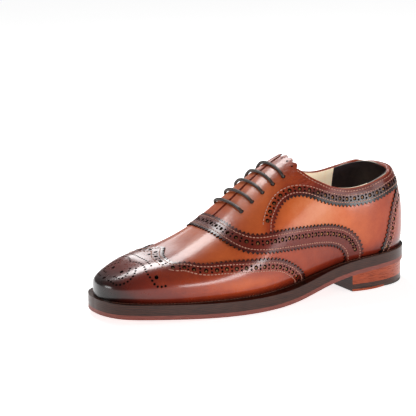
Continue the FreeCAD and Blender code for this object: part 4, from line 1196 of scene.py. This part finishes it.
def hole_shadow_disc(centre, radius):
    """A thin dark disc closing a hole, as vertices and faces: painted shadow."""
    ring = ring_around(centre, radius + FLOOR_SPREAD, FLOOR_SIDES)
    return (np.concatenate([last.places(ring, height) for height in (FLOOR_FOOT, FLOOR_TOP)]),
            tube_faces(2, FLOOR_SIDES))


def shadow_ring(centre, radius):
    """Painted shadow round the floor of a large hole: a dark ring, open off centre where the tan leather
    shows.
    """
    n, radius = FLOOR_SIDES, radius + FLOOR_SPREAD
    # The opening moves down and towards the heel, leaving the painted shadow on the hole's upper side.
    middle = last.shifted(np.atleast_2d(centre), np.array([SHADOW_SHIFT]))[0]
    outer, opening = ring_around(centre, radius, n), ring_around(middle, radius * SHADOW_OPEN, n)
    rings = ((outer, FLOOR_FOOT), (outer, FLOOR_TOP), (opening, FLOOR_TOP), (opening, FLOOR_FOOT))
    faces = [[r * n + k, r * n + (k + 1) % n, (r + 1) % 4 * n + (k + 1) % n, (r + 1) % 4 * n + k]
             for r in range(4) for k in range(n)]
    return np.concatenate([last.places(ring, height) for ring, height in rings]), faces


perforated = cap_holes + band_holes + counter_holes + facing_holes
shut = [hole_shadow_disc(*hole) for hole in perforated if hole[1] != LARGE_HOLE]
shadowed = [shadow_ring(*hole) for hole in perforated if hole[1] == LARGE_HOLE]
joined_mesh("perforation_floor_shadows", shut, HOLE_SHADOW)
joined_mesh("perforation_ring_shadows", shadowed, HOLE_SHADOW)

# -------- stitching
NEAR_ROW, FAR_ROW, CAP_FAR_ROW, TOPLINE_ROW = 1.8, 8.2, 8.6, 2.0
stitching = []
for side_name, side_sign in SIDES.items():
    cap_line, cap_foot = cap_seams[side_name], wing_feet[side_name].s
    edge, topline = facing_seams[side_name], topline_seams[side_name]
    counter_line, counter_foot = counter_seams[side_name], counter_feet[side_name].s
    stitching += [
        (cap_line, 2.0, cap_foot, side_sign * NEAR_ROW, OVERLAY_TOP),
        (cap_line, 6.0, cap_foot - 2.0, side_sign * CAP_FAR_ROW, OVERLAY_TOP),
        (edge, 5.0, edge.length, -side_sign * NEAR_ROW, facing_top),
        (edge, 9.0, edge.length, -side_sign * FAR_ROW, facing_top),
        (topline, 1.0, topline.length, side_sign * TOPLINE_ROW, facing_top),
        (counter_line, 3.0, counter_foot, -side_sign * NEAR_ROW, COUNTER_TOP),
        (counter_line, 6.0, counter_foot, -side_sign * FAR_ROW, COUNTER_TOP)]
stitching += [(band_upper, upper_feet[0].s, upper_feet[1].s, NEAR_ROW, band_top),
              (band_lower, lower_feet[0].s, lower_feet[1].s, -NEAR_ROW, OVERLAY_TOP)]
joined_mesh("stitching_upper", [stitch for row in stitching for stitch in stitch_row(*row)], THREAD)

# -------- rolled edges
EDGE_SHADE, EDGE_SIDES, EDGE_TAPER = 0.42, 12, 0.35
TOPLINE_ROLL, SLIT_ROLL = (-3.0, OVERLAY_TOP + 0.15, 1.3), (-1.8, OVERLAY_TOP + 0.1, 1.1)


def edging(name, chart, low, high, thickness):
    """A rolled edge along chart points, from one height to another and of a thickness."""
    normal, count = last.normal(chart), len(chart)
    aside = unit(np.cross(normal, np.gradient(last.places(chart), axis=0)))
    centre = last.places(chart) + normal * (low + high) / 2
    verts = []
    for k in range(count):
        taper = EDGE_TAPER if k in (0, count - 1) else 1.0
        verts += [centre[k] + taper * ((high - low) / 2 * math.sin(g) * normal[k]
                                       + thickness / 2 * math.cos(g) * aside[k]) for g in circle(EDGE_SIDES)]
    rim = new_object(name, verts, tube_faces(count, EDGE_SIDES), slots=[LEATHER])
    add_shade(rim, "shade", [EDGE_SHADE] * len(verts))
    settle(rim)


outer_run, inner_run = (topline_seams[name].stretch(step=1.0) for name in SIDES)
edging("topline_edge", joined_runs(outer_run, inner_run[-2::-1]), *TOPLINE_ROLL)
for side_name in SIDES:
    edging("slit_edge_" + side_name, slit_seams[side_name].stretch(step=1.0), *SLIT_ROLL)

# -------- lace
LACE_RADIUS, BAR_HEIGHT, UNDER_HEIGHT, SIDE_STEP = 1.35, 3.0, -4.8, 3.5
BAR_SHARES = (0.0, 0.25, 0.5, 0.72, 0.87, 1.0)
BAR_RISES = (0.0, 0.0, 0.0, 0.5, 0.5, 0.0)
TAIL_FORWARDS, TAIL_OUT = 1.0, 7.0
OUTER_TAIL = (-1, 4, 50.0, (158.0, 142.0, 126.0, 110.0))
INNER_TAIL = (1, 3, 146.0, (148.0, 134.0, 119.0, 104.0))


def lace_point(station, width, height):
    return last.places(on_top([(station, width)]), height)[0]


def bar(row, start_side):
    """A bar across the slit, from one eyelet over the crest to its partner.

    It rides a little higher over the inner side's sharp shoulder.
    """
    station = row_station(row)
    outer, inner = eyelet_width(-1, station), eyelet_width(1, station)
    points = [lace_point(station, outer + (inner - outer) * share, BAR_HEIGHT + rise)
              for share, rise in zip(BAR_SHARES, BAR_RISES)]
    return points if start_side < 0 else points[::-1]


def under(side, row, aside=0.0):
    """The lace under the facing, at an eyelet or a little aside from it."""
    station = row_station(row)
    return lace_point(station, eyelet_width(side, station) + side * aside, UNDER_HEIGHT)


def tail(side, row, angle, stations):
    """Spare lace, out sideways under the facing and then forwards along the lining."""
    station = row_station(row)
    width = eyelet_width(side, station) + side * TAIL_OUT
    first = lace_point(station - TAIL_FORWARDS, width, UNDER_HEIGHT)
    return [first] + [last.places([(t, last.girth_at_angle(t, angle))], UNDER_HEIGHT)[0] for t in stations]


def lace_route():
    """Straight bar lacing, one continuous lace from tail to tail."""
    route = tail(*OUTER_TAIL)[::-1] + [under(-1, 4)] + bar(4, -1) + [under(1, 4)]
    route += [under(1, 3, -SIDE_STEP), under(1, 2)] + bar(2, 1) + [under(-1, 2)]
    route += [under(-1, 1, -SIDE_STEP), under(-1, 0)] + bar(0, -1) + [under(1, 0)]
    route += [under(1, 1)] + bar(1, 1) + [under(-1, 1)]
    route += [under(-1, 2, SIDE_STEP), under(-1, 3)] + bar(3, -1) + [under(1, 3)]
    return route + tail(*INNER_TAIL)


def spline_points(name, points, resolution):
    """Points read from a NURBS spline of order 3 through the route."""
    curve = bpy.data.curves.new(name, "CURVE")
    curve.dimensions = "3D"
    curve.resolution_u = resolution
    spline = curve.splines.new("NURBS")
    spline.points.add(len(points) - 1)
    for target, point in zip(spline.points, points):
        target.co = (*point, 1.0)
    spline.use_endpoint_u = True
    spline.order_u = 3
    holder = bpy.data.objects.new(name, curve)
    mesh = bpy.data.meshes.new_from_object(holder)
    found = np.array([v.co[:] for v in mesh.vertices])
    bpy.data.meshes.remove(mesh)
    bpy.data.objects.remove(holder)
    bpy.data.curves.remove(curve)
    return found


def braided_tube(name, path, radius, material, sides=20, step=0.45, pitch=4.2, strands=8, relief=0.09):
    """A round braid along a path: two sets of strands cross over and under each other."""
    s = lengths_along(path)
    wanted = np.linspace(0, s[-1], int(s[-1] / step) + 1)
    centre = read_at(wanted, s, path)
    heading = unit(np.gradient(centre, axis=0))
    side = np.cross(heading[0], (0.0, 0.0, 1.0))
    verts, angles = [], circle(sides)
    for place, along, length in zip(centre, heading, wanted):
        side = side - along * (side @ along)
        side /= np.linalg.norm(side)
        turn = length / pitch * 2 * math.pi
        one = np.cos((angles * strands / 2) + turn * strands / 4)
        two = np.cos((angles * strands / 2) - turn * strands / 4)
        reaches = radius * (1 - relief + relief * np.maximum(one, two) * 1.4)
        verts += ring_places(place, side, np.cross(along, side), reaches, angles)
    return new_object(name, verts, tube_faces(len(wanted), sides), slots=[material])


lace_path = spline_points("lace_route", np.array(lace_route()), 10)
settle(braided_tube("visual_lace", lace_path, LACE_RADIUS, LACE), "lace")

# -------- welt stitching
WELT_OUT, WELT_OVER = 3.1, 0.12
WELT_PITCH, WELT_STITCH, WELT_RADIUS = 3.0, 2.2, 0.4


def welt_line(side):
    """Places along the welt's top, a few millimetres outside the upper."""
    chart = feather(10.0, 290.0, side, 0.0, 1.0)
    places = last.places(chart) + unit(last.normal(chart) * (1.0, 1.0, 0.0)) * WELT_OUT
    places[:, 2] = underside_height(chart[:, 0]) + WELT_TOP + WELT_OVER
    return places


welt_stitches = []
for side_sign in SIDES.values():
    line = welt_line(side_sign)
    s = lengths_along(line)
    starts = np.arange(0.0, s[-1] - WELT_PITCH, WELT_PITCH)
    ends = [read_at(starts + shift, s, line) for shift in (0.0, WELT_STITCH)]
    welt_stitches += [thread(pair, WELT_RADIUS) for pair in zip(*ends)]
joined_mesh("stitching_welt", welt_stitches, DARK_THREAD)

# -------- camera, light and floor
AZIMUTH, ELEVATION, DISTANCE = -30.85, 13.82, 1458.0
LENS, SENSOR = 147.03, 36.0
AIM_LEFT, AIM_ABOVE = 0.026516, 0.020748
TARGET = np.array([0.0, CENTRE_SHIFT, 45.0])
LIGHT_TARGET = Vector((0.0, 0.0, 0.05))
SOFTBOXES = {
    "back_top": ((0.05, 0.76, 1.15), (0.62, 0.44), 12.5),
    "back_low": ((0.28, 1.17, 0.66), (0.13, 0.52), 1.1),
    "fill": ((1.36, -1.36, 0.34), (0.8, 0.5), 5.2),
    "low_right": ((0.36, -1.32, 0.09), (0.9, 0.26), 9.0),
    "left": ((-1.1, 0.22, 0.2), (0.25, 0.25), 1.8)}
WHITE = (1.0, 1.0, 1.0, 1.0)
WORLD_LIGHT, FLOOR_GLOW, FLOOR_SIZE = 0.2, 0.77, 12.0


def aim():
    """Where the camera stands and which way it looks."""
    a, e = math.radians(AZIMUTH), math.radians(ELEVATION)
    back = np.array([math.sin(a) * math.cos(e), -math.cos(a) * math.cos(e), math.sin(e)])
    right = np.cross(-back, (0.0, 0.0, 1.0))
    right /= np.linalg.norm(right)
    up = np.cross(right, -back)
    looking = -back - right * AIM_LEFT + up * AIM_ABOVE
    return TARGET + back * DISTANCE, looking / np.linalg.norm(looking)


camera_place, looking = aim()
camera = bpy.data.objects.new("camera", bpy.data.cameras.new("camera"))
camera.data.sensor_width = SENSOR
camera.data.lens = LENS
camera.data.clip_end = 20.0
camera.location = camera_place * MM
camera.rotation_euler = Vector(looking).to_track_quat("-Z", "Y").to_euler()
bpy.context.scene.collection.objects.link(camera)
bpy.context.scene.camera = camera


def softbox(name, position, size, power):
    """An oblong light aimed at the shoe."""
    light = bpy.data.lights.new(name, "AREA")
    light.shape = "RECTANGLE"
    light.size, light.size_y = size
    light.energy = power
    obj = bpy.data.objects.new(name, light)
    obj.location = position
    obj.rotation_euler = (LIGHT_TARGET - Vector(position)).to_track_quat("-Z", "Y").to_euler()
    bpy.context.scene.collection.objects.link(obj)


for light_name, settings in SOFTBOXES.items():
    softbox(light_name, *settings)
world = bpy.data.worlds.new("studio")
world.use_nodes = True
world.node_tree.nodes["Background"].inputs["Color"].default_value = WHITE
world.node_tree.nodes["Background"].inputs["Strength"].default_value = WORLD_LIGHT
bpy.context.scene.world = world
bpy.context.scene.view_settings.view_transform = "Standard"

floor_paint = Paint("pale_floor", 0.9, Emission_Color=WHITE, Emission_Strength=FLOOR_GLOW)
floor_paint.put(floor_paint.ramp(floor_paint.noise(400.0), [(0.3, (250, 250, 250)), (0.7, (254, 254, 254))]),
                "Base Color")
bpy.ops.mesh.primitive_plane_add(size=FLOOR_SIZE)
floor = bpy.context.object
floor.name = "floor"
floor.data.materials.append(floor_paint.material)
